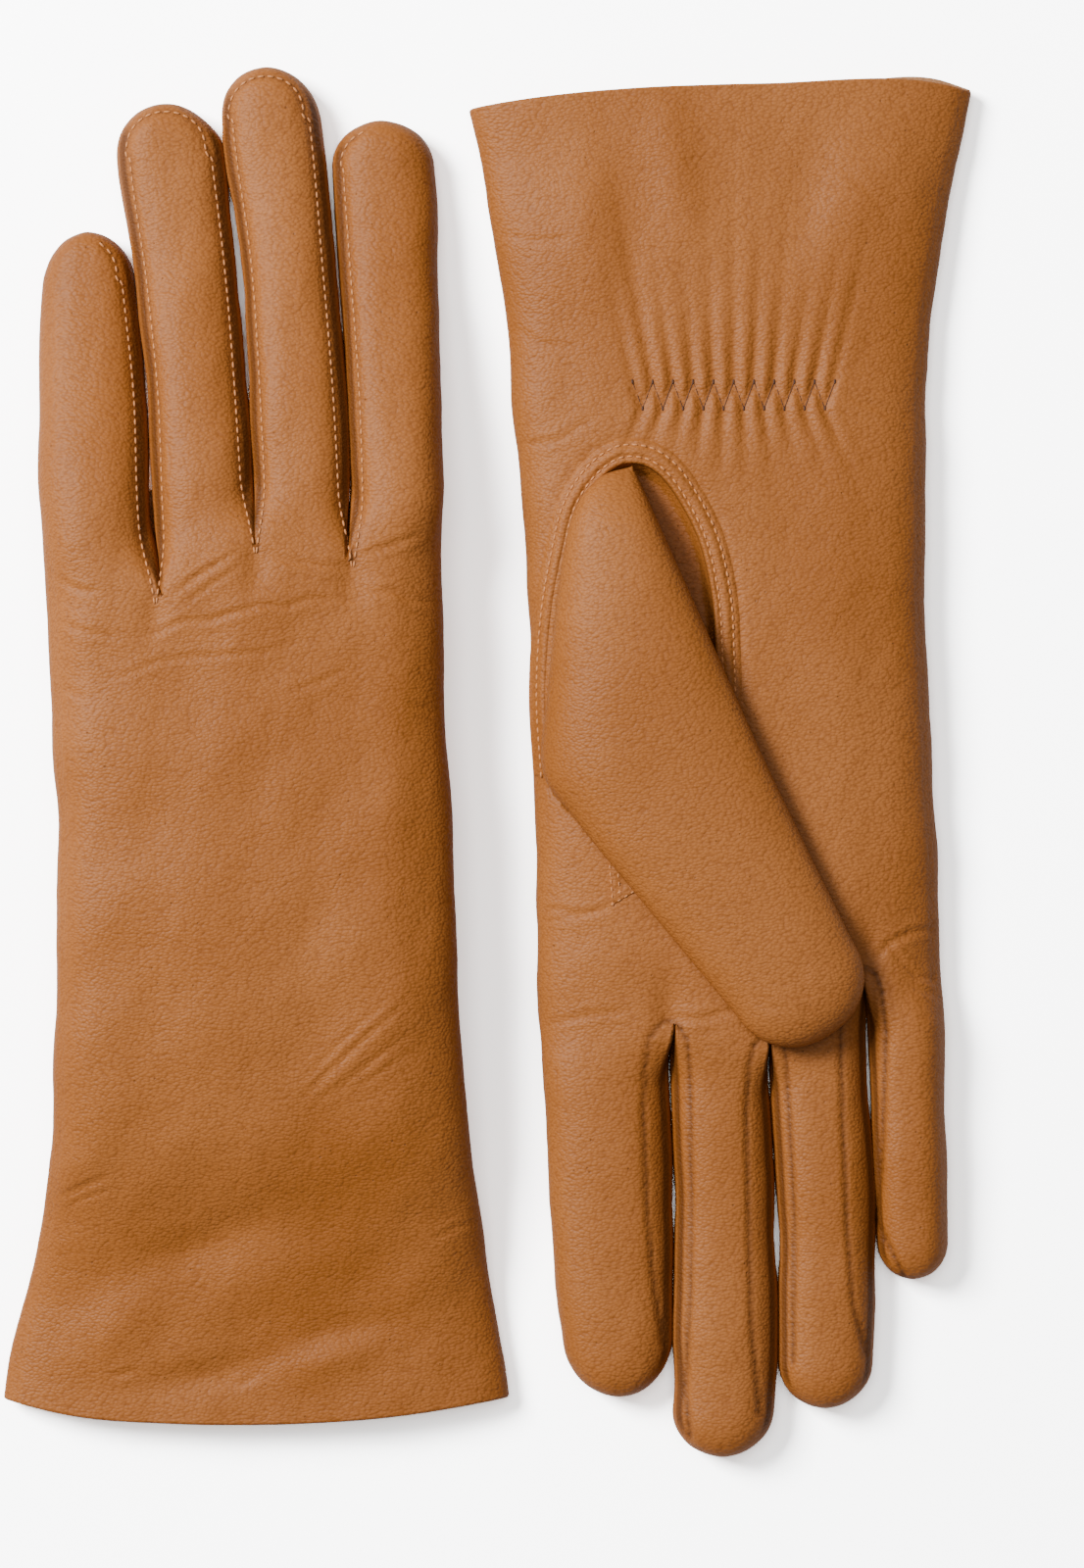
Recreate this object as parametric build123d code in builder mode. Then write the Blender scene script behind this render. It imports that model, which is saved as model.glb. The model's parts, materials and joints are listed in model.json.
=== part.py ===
"""A pair of lined leather dress gloves with an elasticated wrist and a flared cuff.

Both gloves lie flat on a table. The left one shows its back, with its thumb folded under the palm; the
right one shows its palm, with its thumb folded over it. Each glove is built in its own frame: u across,
towards the forefinger, v from the cuff's mouth towards the fingertips, z up from the table. The right
glove's frame is the left one's turned half round. All sizes are in millimetres.
"""

import math
import os
from types import SimpleNamespace

from build123d import *

# Layers of the wall, from the outside in.
LEATHER = 0.8
PLY_GAP = 0.1
LINING = 0.8
ELASTIC_THICKNESS = 0.5
FACING_THICKNESS = 0.5
HEM_DEPTH = 22.0

# The hand: sections across the glove, from the cuff's mouth to the finger roots.
HAND_LENGTH = 195.0
CUFF_WIDTH = 102.5
CUFF_HEIGHT = 10.0
WRIST_WIDTH = 84.8
WRIST_HEIGHT = 12.0
WRIST_AT = 60.0
PALM_WIDTH = 81.2
PALM_HEIGHT = 14.0
ROOT_WIDTH = 82.6
ROOT_HEIGHT = 12.4
RUN_OUT = 3.0  # how far the hand's forms run past each end before they are trimmed
EDGE_FACETS = 6  # how many flats each rounded edge of the hand has

# The fingers and the thumb.
FINGER_HEIGHT = 12.0
FINGER_GAP = 0.6
JOINT_GAP = 0.3  # between the hand and whatever bends on it
FOURCHETTE_INSET = 3.2  # how far in from a finger's side the side wall's seams lie
FINGERS = ("index", "middle", "ring", "little")
FINGER_LENGTH = {"index": 70.0, "middle": 82.5, "ring": 75.0, "little": 49.5}
THUMB_HEIGHT = 9.6
THUMB_PIVOT_OUT = 1.2  # from the thumb's outermost point to the line that it folds about

THUMB_CORNERS = {  # the folded thumb in plan, and how far each corner is rounded
    "crotch": ((17.0, 74.0), 5.0),
    "heel": ((31.0, 86.0), 12.0),
    "knuckle": ((37.4, 136.5), 9.0),
    "tip_low": ((-8.5, 193.2), 9.0),
    "tip_high": ((-32.0, 185.0), 8.0),
}

# The elasticated gather across the palm side of the wrist, and its zigzag of thread.
ELASTIC_LENGTH = 42.0
ELASTIC_WIDTH = 9.0
ELASTIC_CENTRE = (-2.0, 62.0)
ZIGZAG_TEETH = 10
ZIGZAG_DEPTH = 5.4
THREAD = 0.4

# The thumb's hole in the palm, an ellipse, its facing, and the quirk, a small gusset beside it.
HOLE_CENTRE = (18.0, 111.0)
HOLE_LENGTH = 80.0
HOLE_WIDTH = 35.0
FACING_WIDTH = 4.0
QUIRK_TIP = (23.4, 153.6)
QUIRK_SIZE = (6.4, 9.0)

# The two gloves: how each one lies on the table.
PAIR_SPACING = 95.6  # across, between the middles of the two cuffs' mouths
MOUTH_TO_MIDDLE = 134.9  # along, from each cuff's mouth to the middle of the pair
LEFT = SimpleNamespace(
    name="left",
    palm_up=False,
    turn=0,
    root_offset=-3.0,
    lean=4.0,
    widths={"index": 18.8, "middle": 19.6, "ring": 20.2, "little": 22.2},
    tip_share={"index": 1.0, "middle": 0.94, "ring": 0.95, "little": 0.84},
)
RIGHT = SimpleNamespace(
    name="right",
    palm_up=True,
    turn=180,
    root_offset=-4.0,
    lean=1.5,
    widths={"index": 25.2, "middle": 19.4, "ring": 19.4, "little": 15.6},
    tip_share={"index": 0.84, "middle": 0.98, "ring": 0.97, "little": 0.93},
)
GLOVES = (LEFT, RIGHT)

lining_out = LEATHER + PLY_GAP
lining_in = lining_out + LINING
palm_lift = THUMB_HEIGHT + JOINT_GAP


def stations(glove):
    """The hand's sections as (v, width, height, height of the underside), from the cuff to the root."""
    flare = CUFF_WIDTH - WRIST_WIDTH
    lift = 0.0 if glove.palm_up else palm_lift
    return [
        (-RUN_OUT, CUFF_WIDTH + 0.6, CUFF_HEIGHT, 0.0),
        (16.0, WRIST_WIDTH + 0.72 * flare, CUFF_HEIGHT + 0.5, 0.0),
        (34.0, WRIST_WIDTH + 0.32 * flare, CUFF_HEIGHT + 1.0, 0.22 * lift),
        (WRIST_AT - 8.0, WRIST_WIDTH + 0.05 * flare, WRIST_HEIGHT, 0.7 * lift),
        (WRIST_AT + 12.0, WRIST_WIDTH - 1.4, WRIST_HEIGHT + 0.6, lift),
        (105.0, PALM_WIDTH, PALM_HEIGHT, lift),
        (150.0, PALM_WIDTH + 0.3, PALM_HEIGHT, lift),
        (HAND_LENGTH + 2 * RUN_OUT, ROOT_WIDTH, ROOT_HEIGHT, lift),
    ]


def drift(glove, v):
    """How far the hand's middle lies to one side at v: the hand leans a little from the wrist on."""
    return glove.root_offset * max(0.0, v - WRIST_AT) / (HAND_LENGTH - WRIST_AT)


def flat_oval(width, height):
    """The corners of a flat oval whose rounded ends are made of short flats."""
    radius = height / 2
    corners = []
    for side in (1, -1):
        for step in range(EDGE_FACETS + 1):
            angle = side * math.pi * (step / EDGE_FACETS - 0.5)
            corners.append((side * (width / 2 - radius + radius * math.cos(angle)), radius * math.sin(angle)))
    return corners


def hand_form(glove, inset):
    """The hand and cuff as one solid form, taken in by inset all round, longer than the hand at each end."""
    with BuildPart() as form:
        for v, width, height, lift in stations(glove):
            middle = (drift(glove, v), v, lift + height / 2)
            with BuildSketch(Plane(origin=middle, x_dir=(1, 0, 0), z_dir=(0, 1, 0))):
                with BuildLine():
                    Polyline(*flat_oval(width - 2 * inset, height - 2 * inset), close=True)
                make_face()
        loft(ruled=True)
    return form.part


def root_plane(glove, back=0.0):
    """The plane that the hand ends at, square to the fingers, looking towards the fingertips."""
    lean = math.radians(glove.lean)
    along = Vector(-math.sin(lean), math.cos(lean), 0)
    origin = Vector(glove.root_offset, HAND_LENGTH, 0) - along * back
    return Plane(origin=tuple(origin), x_dir=(math.cos(lean), math.sin(lean), 0), z_dir=tuple(along))


def palm_side(glove):
    """+1 where the palm faces up, and -1 where it faces the table."""
    return 1 if glove.palm_up else -1


def palm_level(glove):
    """The height of the palm's surface over the thumb's hole."""
    return PALM_HEIGHT if glove.palm_up else palm_lift


def hinge_level(glove):
    """The height of the line that the fingers bend about, at their palm side."""
    return FINGER_HEIGHT + 0.2 if glove.palm_up else palm_lift


def finger_middle(glove, finger):
    """How far along the root line a finger's middle lies, from the line's own middle."""
    before = FINGERS[FINGERS.index(finger) + 1 :]
    span = sum(glove.widths.values()) + FINGER_GAP * (len(FINGERS) - 1)
    start = sum(glove.widths[f] + FINGER_GAP for f in before)
    return start + glove.widths[finger] / 2 - span / 2


def droop(glove, finger):
    """The angle by which a finger slopes down from the root to the table."""
    if glove.palm_up:
        return 0.0
    return math.asin(hinge_level(glove) / FINGER_LENGTH[finger])


def finger_plane(glove, finger):
    """A finger's own frame: origin on its hinge line, x across, y towards the tip, z up."""
    lean = math.radians(glove.lean)
    fall = droop(glove, finger)
    across = Vector(math.cos(lean), math.sin(lean), 0)
    level = Vector(-math.sin(lean), math.cos(lean), 0)
    along = level * math.cos(fall) - Vector(0, 0, 1) * math.sin(fall)
    start = Vector(glove.root_offset, HAND_LENGTH, hinge_level(glove)) + across * finger_middle(glove, finger)
    return Plane(origin=tuple(start), x_dir=tuple(across), z_dir=tuple(across.cross(along)))


def finger_form(glove, finger, inset, start):
    """A finger as a solid form, taken in by inset, with its flat root end at start."""
    half = glove.widths[finger] / 2 - inset
    tip_half = glove.widths[finger] * glove.tip_share[finger] / 2 - inset
    height = FINGER_HEIGHT - 2 * inset
    shoulder = FINGER_LENGTH[finger] - glove.widths[finger] * glove.tip_share[finger] / 2
    start_half = half + (tip_half - half) * start / shoulder
    floor = -FINGER_HEIGHT + inset if glove.palm_up else inset
    with BuildPart() as form:
        with BuildSketch(finger_plane(glove, finger).offset(floor)):
            with BuildLine():
                side = Polyline((-tip_half, shoulder), (-start_half, start), (start_half, start), (tip_half, shoulder))
                ThreePointArc(side @ 0, (0, shoulder + tip_half), side @ 1)
            make_face()
        extrude(amount=height)
        frame = finger_plane(glove, finger)
        at_root = form.edges().filter_by_position(Axis(frame.origin, frame.y_dir), start - 0.01, start + 0.01)
        upright = form.edges().filter_by(Axis(frame.origin, frame.z_dir))
        rims = [edge for edge in form.edges() if edge not in at_root and edge not in upright]
        fillet(rims, height / 2 - 0.3)
    return form.part


def shell(outer, inner):
    """The wall between two forms."""
    with BuildPart() as wall:
        add(outer)
        add(inner, mode=Mode.SUBTRACT)
    return wall.part


def slab(glove, v_from, v_to):
    """A block that covers the hand from v_from to v_to; None runs to the root line, less the joint's gap."""
    wide = 2 * CUFF_WIDTH
    tall = 4 * PALM_HEIGHT + palm_lift
    with BuildPart() as block:
        end = HAND_LENGTH + 2 * RUN_OUT if v_to is None else v_to
        with BuildSketch(Plane.XZ.offset(-v_from)):
            with Locations((0, tall / 2)):
                Rectangle(wide, tall)
        extrude(amount=-(end - v_from))
        if v_to is None:
            split(bisect_by=root_plane(glove, JOINT_GAP), keep=Keep.BOTTOM)
    return block.part


def palm_prism(glove, outline):
    """A sketch of the palm in u and v, cut down through the palm's wall alone."""
    level = palm_level(glove) + palm_side(glove) * (PALM_HEIGHT / 2)
    with BuildPart() as prism:
        with BuildSketch(Plane.XY.offset(level)):
            add(outline)
        extrude(amount=-palm_side(glove) * (PALM_HEIGHT - 1.0))
    return prism.part


def oval(grow=0.0):
    """The thumb's hole in plan."""
    with BuildSketch() as outline:
        with Locations(HOLE_CENTRE):
            Ellipse(HOLE_WIDTH / 2 + grow, HOLE_LENGTH / 2 + grow)
    return outline.sketch


def quirk_outline(grow=0.0):
    """The quirk in plan, a small triangle whose point faces the cuff."""
    with BuildSketch() as outline:
        with BuildLine():
            Polyline(
                QUIRK_TIP,
                (QUIRK_TIP[0], QUIRK_TIP[1] + QUIRK_SIZE[1]),
                (QUIRK_TIP[0] - QUIRK_SIZE[0], QUIRK_TIP[1] + 0.8 * QUIRK_SIZE[1]),
                close=True,
            )
        make_face()
        if grow:
            offset(amount=grow, kind=Kind.INTERSECTION)
    return outline.sketch


def elastic_outline(grow=0.0):
    """The elastic in plan."""
    with BuildSketch() as outline:
        with Locations(ELASTIC_CENTRE):
            Rectangle(ELASTIC_LENGTH + 2 * grow, ELASTIC_WIDTH + 2 * grow)
    return outline.sketch


def thumb_form(glove, inset):
    """The folded thumb as a solid form, taken in by inset."""
    height = THUMB_HEIGHT - 2 * inset
    base = palm_level(glove) + JOINT_GAP if glove.palm_up else 0.0
    with BuildPart() as form:
        with BuildSketch(Plane.XY.offset(base + inset)) as outline:
            with BuildLine():
                Polyline(*(corner for corner, _ in THUMB_CORNERS.values()), close=True)
            make_face()
            for corner, radius in THUMB_CORNERS.values():
                fillet(outline.vertices().sort_by_distance((*corner, base + inset))[0], radius)
            offset(amount=-inset - 0.001)
        extrude(amount=height)
        fillet(form.faces().filter_by(Axis.Z).edges(), height / 2 - 0.3)
    return form.part


def placed(glove, part, label):
    """The part in the pair's own frame, named and written out."""
    side = -1 if glove is LEFT else 1
    corner = Location((side * PAIR_SPACING / 2, side * MOUTH_TO_MIDDLE, 0), (0, 0, glove.turn))
    done = part.moved(corner)
    done.label = label
    export_step(done, f"parts/{label}.step")
    return done


def build_hand(glove):
    """The leather hand and cuff, its quirk, hem, thumb facing, elastic and lining."""
    outer = hand_form(glove, 0.0)
    leather_inner = hand_form(glove, LEATHER)
    ply_outer = hand_form(glove, lining_out)
    facing_inner = hand_form(glove, lining_out + FACING_THICKNESS)
    lining_inner = hand_form(glove, lining_in)
    whole = slab(glove, 0.0, None)
    lined = slab(glove, HEM_DEPTH + PLY_GAP, None)
    hemmed = slab(glove, 0.3, HEM_DEPTH)
    hole = palm_prism(glove, oval())
    faced = palm_prism(glove, oval(FACING_WIDTH))
    faced_clear = palm_prism(glove, oval(FACING_WIDTH + PLY_GAP))
    quirk_set = palm_prism(glove, quirk_outline())
    quirk_clear = palm_prism(glove, quirk_outline(PLY_GAP))
    band = palm_prism(glove, elastic_outline())
    band_clear = palm_prism(glove, elastic_outline(PLY_GAP))
    leather_wall = shell(outer, leather_inner)
    facing_wall = shell(ply_outer, facing_inner)
    lining_wall = shell(ply_outer, lining_inner)

    with BuildPart() as hand:
        add(leather_wall)
        add(whole, mode=Mode.INTERSECT)
        add(hole, mode=Mode.SUBTRACT)
        add(quirk_clear, mode=Mode.SUBTRACT)
    placed(glove, hand.part, f"{glove.name}_hand")

    with BuildPart() as quirk:
        add(leather_wall)
        add(quirk_set, mode=Mode.INTERSECT)
    placed(glove, quirk.part, f"{glove.name}_quirk")

    with BuildPart() as hem:
        add(facing_wall)
        add(hemmed, mode=Mode.INTERSECT)
    placed(glove, hem.part, f"{glove.name}_cuff_hem")

    with BuildPart() as facing:
        add(facing_wall)
        add(faced, mode=Mode.INTERSECT)
        add(hole, mode=Mode.SUBTRACT)
    placed(glove, facing.part, f"{glove.name}_thumb_facing")

    with BuildPart() as elastic:
        add(facing_wall)
        add(band, mode=Mode.INTERSECT)
    placed(glove, elastic.part, f"{glove.name}_wrist_elastic")

    with BuildPart() as lining:
        add(lining_wall)
        add(lined, mode=Mode.INTERSECT)
        add(faced_clear, mode=Mode.SUBTRACT)
        add(band_clear, mode=Mode.SUBTRACT)
    placed(glove, lining.part, f"{glove.name}_hand_lining")


def build_thumb(glove):
    """The thumb's leather and its lining, both open towards the hole in the palm."""
    window = palm_prism(glove, oval(-3.0))
    outer = thumb_form(glove, 0.0)
    leather_inner = thumb_form(glove, LEATHER)
    ply_outer = thumb_form(glove, lining_out)
    lining_inner = thumb_form(glove, lining_in)
    roof = palm_level(glove) + palm_side(glove) * (JOINT_GAP + THUMB_HEIGHT / 2)
    with BuildPart() as far_half:
        with BuildSketch(Plane.XY.offset(roof)):
            Rectangle(4 * HAND_LENGTH, 4 * HAND_LENGTH)
        extrude(amount=palm_side(glove) * PALM_HEIGHT)
    with BuildPart() as opening:
        add(window)
        add(far_half.part, mode=Mode.SUBTRACT)

    with BuildPart() as thumb:
        add(outer)
        add(leather_inner, mode=Mode.SUBTRACT)
        add(opening.part, mode=Mode.SUBTRACT)
    placed(glove, thumb.part, f"{glove.name}_thumb")

    with BuildPart() as lining:
        add(ply_outer)
        add(lining_inner, mode=Mode.SUBTRACT)
        add(opening.part, mode=Mode.SUBTRACT)
    placed(glove, lining.part, f"{glove.name}_thumb_lining")


def side_block(glove, finger, side):
    """A block over one side of a finger, where its fourchette is, on side -1 or +1 of its middle."""
    length = FINGER_LENGTH[finger]
    tip = glove.widths[finger] * glove.tip_share[finger] / 2
    cut = tip - FOURCHETTE_INSET
    with BuildPart() as block:
        with BuildSketch(finger_plane(glove, finger).offset(-2 * FINGER_HEIGHT)):
            with Locations((side * (cut + tip), (length - tip) / 2)):
                Rectangle(2 * tip, length - tip)
        extrude(amount=4 * FINGER_HEIGHT)
    return block.part


def build_finger(glove, finger):
    """A finger's leather, the fourchettes on the sides that face another finger, and its lining."""
    outer = finger_form(glove, finger, 0.0, JOINT_GAP)
    leather_inner = finger_form(glove, finger, LEATHER, -RUN_OUT)
    ply_outer = finger_form(glove, finger, lining_out, JOINT_GAP)
    lining_inner = finger_form(glove, finger, lining_in, -RUN_OUT)
    sides = {-1: "inner", 1: "outer"}
    if finger == "index":
        sides.pop(1)
    if finger == "little":
        sides.pop(-1)
    blocks = {name: side_block(glove, finger, side) for side, name in sides.items()}

    with BuildPart() as leather:
        add(outer)
        add(leather_inner, mode=Mode.SUBTRACT)
        for block in blocks.values():
            add(block, mode=Mode.SUBTRACT)
    placed(glove, leather.part, f"{glove.name}_{finger}_finger")

    for name, block in blocks.items():
        with BuildPart() as fourchette:
            add(outer)
            add(leather_inner, mode=Mode.SUBTRACT)
            add(block, mode=Mode.INTERSECT)
        placed(glove, fourchette.part, f"{glove.name}_{finger}_{name}_fourchette")

    with BuildPart() as lining:
        add(ply_outer)
        add(lining_inner, mode=Mode.SUBTRACT)
    placed(glove, lining.part, f"{glove.name}_{finger}_lining")


def main():
    os.makedirs("parts", exist_ok=True)
    for glove in GLOVES:
        build_hand(glove)
        build_thumb(glove)
        for finger in FINGERS:
            build_finger(glove, finger)


if __name__ == "__main__":
    main()
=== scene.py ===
"""A pair of lined leather dress gloves lying flat: the left one back up, the right one palm up."""

import json
import math

import bmesh
import bpy
import numpy as np
from mathutils import Vector
from mathutils.bvhtree import BVHTree
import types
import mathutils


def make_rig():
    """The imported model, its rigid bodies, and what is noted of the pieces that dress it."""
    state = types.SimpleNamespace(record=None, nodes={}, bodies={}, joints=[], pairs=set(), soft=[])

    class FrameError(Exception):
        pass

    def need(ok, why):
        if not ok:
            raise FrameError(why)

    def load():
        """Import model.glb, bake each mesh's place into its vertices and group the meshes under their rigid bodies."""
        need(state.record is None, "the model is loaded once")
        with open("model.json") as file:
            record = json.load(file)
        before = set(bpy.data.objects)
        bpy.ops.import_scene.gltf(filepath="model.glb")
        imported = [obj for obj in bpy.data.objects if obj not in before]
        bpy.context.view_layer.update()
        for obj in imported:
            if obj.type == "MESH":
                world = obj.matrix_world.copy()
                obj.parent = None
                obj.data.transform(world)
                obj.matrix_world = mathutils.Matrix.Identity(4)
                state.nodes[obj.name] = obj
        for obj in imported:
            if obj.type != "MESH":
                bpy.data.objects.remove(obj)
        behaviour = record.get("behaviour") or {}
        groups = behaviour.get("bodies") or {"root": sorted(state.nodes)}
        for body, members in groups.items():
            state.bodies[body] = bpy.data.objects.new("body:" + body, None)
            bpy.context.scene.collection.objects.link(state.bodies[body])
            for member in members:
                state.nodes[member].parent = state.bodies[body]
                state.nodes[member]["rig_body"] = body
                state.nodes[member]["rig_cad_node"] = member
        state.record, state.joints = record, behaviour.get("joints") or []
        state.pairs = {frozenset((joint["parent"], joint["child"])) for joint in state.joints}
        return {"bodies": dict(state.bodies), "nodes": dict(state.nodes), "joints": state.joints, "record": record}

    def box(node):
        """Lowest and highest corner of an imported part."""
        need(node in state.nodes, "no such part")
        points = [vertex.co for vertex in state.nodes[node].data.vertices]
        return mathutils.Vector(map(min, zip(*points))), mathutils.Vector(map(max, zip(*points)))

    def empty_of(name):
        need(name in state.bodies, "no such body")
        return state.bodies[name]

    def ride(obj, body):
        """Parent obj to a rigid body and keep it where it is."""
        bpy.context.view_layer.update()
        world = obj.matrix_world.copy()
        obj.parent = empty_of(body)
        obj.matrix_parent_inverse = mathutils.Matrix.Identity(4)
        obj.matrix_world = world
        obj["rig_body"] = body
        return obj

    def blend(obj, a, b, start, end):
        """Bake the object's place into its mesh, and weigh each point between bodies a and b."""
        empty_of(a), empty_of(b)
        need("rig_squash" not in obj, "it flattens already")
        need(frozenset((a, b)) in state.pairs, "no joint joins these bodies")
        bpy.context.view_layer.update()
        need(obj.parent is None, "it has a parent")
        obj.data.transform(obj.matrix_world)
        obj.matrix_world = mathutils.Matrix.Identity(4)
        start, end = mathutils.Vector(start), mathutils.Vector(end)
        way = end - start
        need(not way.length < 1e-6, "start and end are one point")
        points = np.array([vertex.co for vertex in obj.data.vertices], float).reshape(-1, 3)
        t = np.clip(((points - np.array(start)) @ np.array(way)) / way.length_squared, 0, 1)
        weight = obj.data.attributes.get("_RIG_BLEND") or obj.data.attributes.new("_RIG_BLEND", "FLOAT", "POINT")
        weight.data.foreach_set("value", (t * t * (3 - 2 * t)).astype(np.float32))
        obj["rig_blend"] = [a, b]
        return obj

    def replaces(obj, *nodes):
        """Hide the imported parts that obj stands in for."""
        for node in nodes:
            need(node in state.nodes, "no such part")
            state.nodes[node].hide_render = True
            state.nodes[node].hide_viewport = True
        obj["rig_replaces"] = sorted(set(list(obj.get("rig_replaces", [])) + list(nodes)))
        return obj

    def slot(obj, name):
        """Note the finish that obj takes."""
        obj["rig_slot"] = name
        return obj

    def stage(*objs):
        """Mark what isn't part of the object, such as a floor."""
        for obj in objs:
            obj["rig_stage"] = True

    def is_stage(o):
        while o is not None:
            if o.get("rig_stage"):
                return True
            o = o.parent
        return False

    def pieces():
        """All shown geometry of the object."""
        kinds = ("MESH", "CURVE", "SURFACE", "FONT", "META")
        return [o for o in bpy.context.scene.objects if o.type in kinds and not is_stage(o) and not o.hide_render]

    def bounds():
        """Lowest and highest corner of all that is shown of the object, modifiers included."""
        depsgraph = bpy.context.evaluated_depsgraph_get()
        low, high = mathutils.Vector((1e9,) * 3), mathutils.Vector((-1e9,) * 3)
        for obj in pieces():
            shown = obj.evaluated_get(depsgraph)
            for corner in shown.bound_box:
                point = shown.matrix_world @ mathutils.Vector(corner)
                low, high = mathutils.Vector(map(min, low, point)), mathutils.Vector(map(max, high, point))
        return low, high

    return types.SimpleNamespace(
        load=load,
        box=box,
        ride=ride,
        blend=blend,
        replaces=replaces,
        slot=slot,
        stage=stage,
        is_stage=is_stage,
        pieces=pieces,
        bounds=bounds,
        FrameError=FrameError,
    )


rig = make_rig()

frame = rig.load()
cad_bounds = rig.bounds()


# The skin: the trank, its four fingers and the fourchettes.
# Hairsheep nappa, drum dyed cognac: the hand is cut in one with its fingers and closed down the little
# finger's side, with strips sewn between the fingers. It is drawn as one surface, and then cut into
# pieces at the seams and the joints.

# A glove's own frame is in millimetres: u across, towards the forefinger, v from the middle of the cuff's
# mouth towards the fingertips, z up from the table. The right glove's is turned half round.
MM = 0.001


def glove_frame(name, turn):
    """Where a glove's own origin is on the table, and whether it is turned round (-1) or not (+1)."""
    hem_low, hem_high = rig.box(name + "_cuff_hem")
    hand_low, hand_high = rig.box(name + "_hand")
    return ((hem_low[0] + hem_high[0]) / 2, hand_low[1] if turn > 0 else hand_high[1], turn)


PLACE = {"left": glove_frame("left", 1), "right": glove_frame("right", -1)}


def to_world(glove, points):
    """Points in a glove's own frame, in the frame of the pair, in metres."""
    x, y, turn = PLACE[glove]
    points = np.asarray(points, float)
    out = points * MM
    out[..., 0] = x + turn * points[..., 0] * MM
    out[..., 1] = y + turn * points[..., 1] * MM
    return out


def curve(points, at):
    """A smooth line through the points, read at the given places."""
    x, y = np.array(points, float).T
    slope = np.gradient(y, x)
    at = np.clip(at, x[0], x[-1])
    i = np.clip(np.searchsorted(x, at) - 1, 0, len(x) - 2)
    step = x[i + 1] - x[i]
    t = (at - x[i]) / step
    return (
        (2 * t**3 - 3 * t**2 + 1) * y[i]
        + (t**3 - 2 * t**2 + t) * step * slope[i]
        + (3 * t**2 - 2 * t**3) * y[i + 1]
        + (t**3 - t**2) * step * slope[i + 1]
    )


def ease(low, high, at):
    """0 before low, 1 after high, and smooth in between."""
    t = np.clip((np.asarray(at, float) - low) / (high - low), 0, 1)
    return t * t * (3 - 2 * t)


def new_group(name, inputs, outputs):
    """An empty node group with named number and colour sockets."""
    tree = bpy.data.node_groups.new(name, "ShaderNodeTree")
    for socket, value in inputs.items():
        kind = "NodeSocketColor" if isinstance(value, tuple) else "NodeSocketFloat"
        tree.interface.new_socket(socket, in_out="INPUT", socket_type=kind).default_value = value
    for socket, kind in outputs.items():
        tree.interface.new_socket(socket, in_out="OUTPUT", socket_type=kind)
    return tree, tree.nodes.new("NodeGroupInput"), tree.nodes.new("NodeGroupOutput")


def node(tree, kind, links=(), **values):
    """A node with its settings; links are pairs of an input's name and an output socket."""
    made = tree.nodes.new(kind)
    for key, value in values.items():
        if hasattr(made, key):
            setattr(made, key, value)
        else:
            made.inputs[key.replace("_", " ")].default_value = value
    for socket, source in dict(links).items():
        tree.links.new(source, made.inputs[socket])
    return made


def math_node(tree, operation, a, b=0.0, c=0.0):
    """One Math node; a, b and c are numbers or sockets."""
    made = tree.nodes.new("ShaderNodeMath")
    made.operation = operation
    for i, value in enumerate((a, b, c)):
        if isinstance(value, bpy.types.NodeSocket):
            tree.links.new(value, made.inputs[i])
        else:
            made.inputs[i].default_value = value
    return made.outputs[0]


def mix_colour(tree, share, a, b):
    """A blend of two colours; each is a socket or an (r, g, b, 1) value."""
    made = tree.nodes.new("ShaderNodeMix")
    made.data_type = "RGBA"
    for socket, value in ((made.inputs[0], share), (made.inputs[6], a), (made.inputs[7], b)):
        if isinstance(value, bpy.types.NodeSocket):
            tree.links.new(value, socket)
        else:
            socket.default_value = value
    return made.outputs[2]


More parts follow.
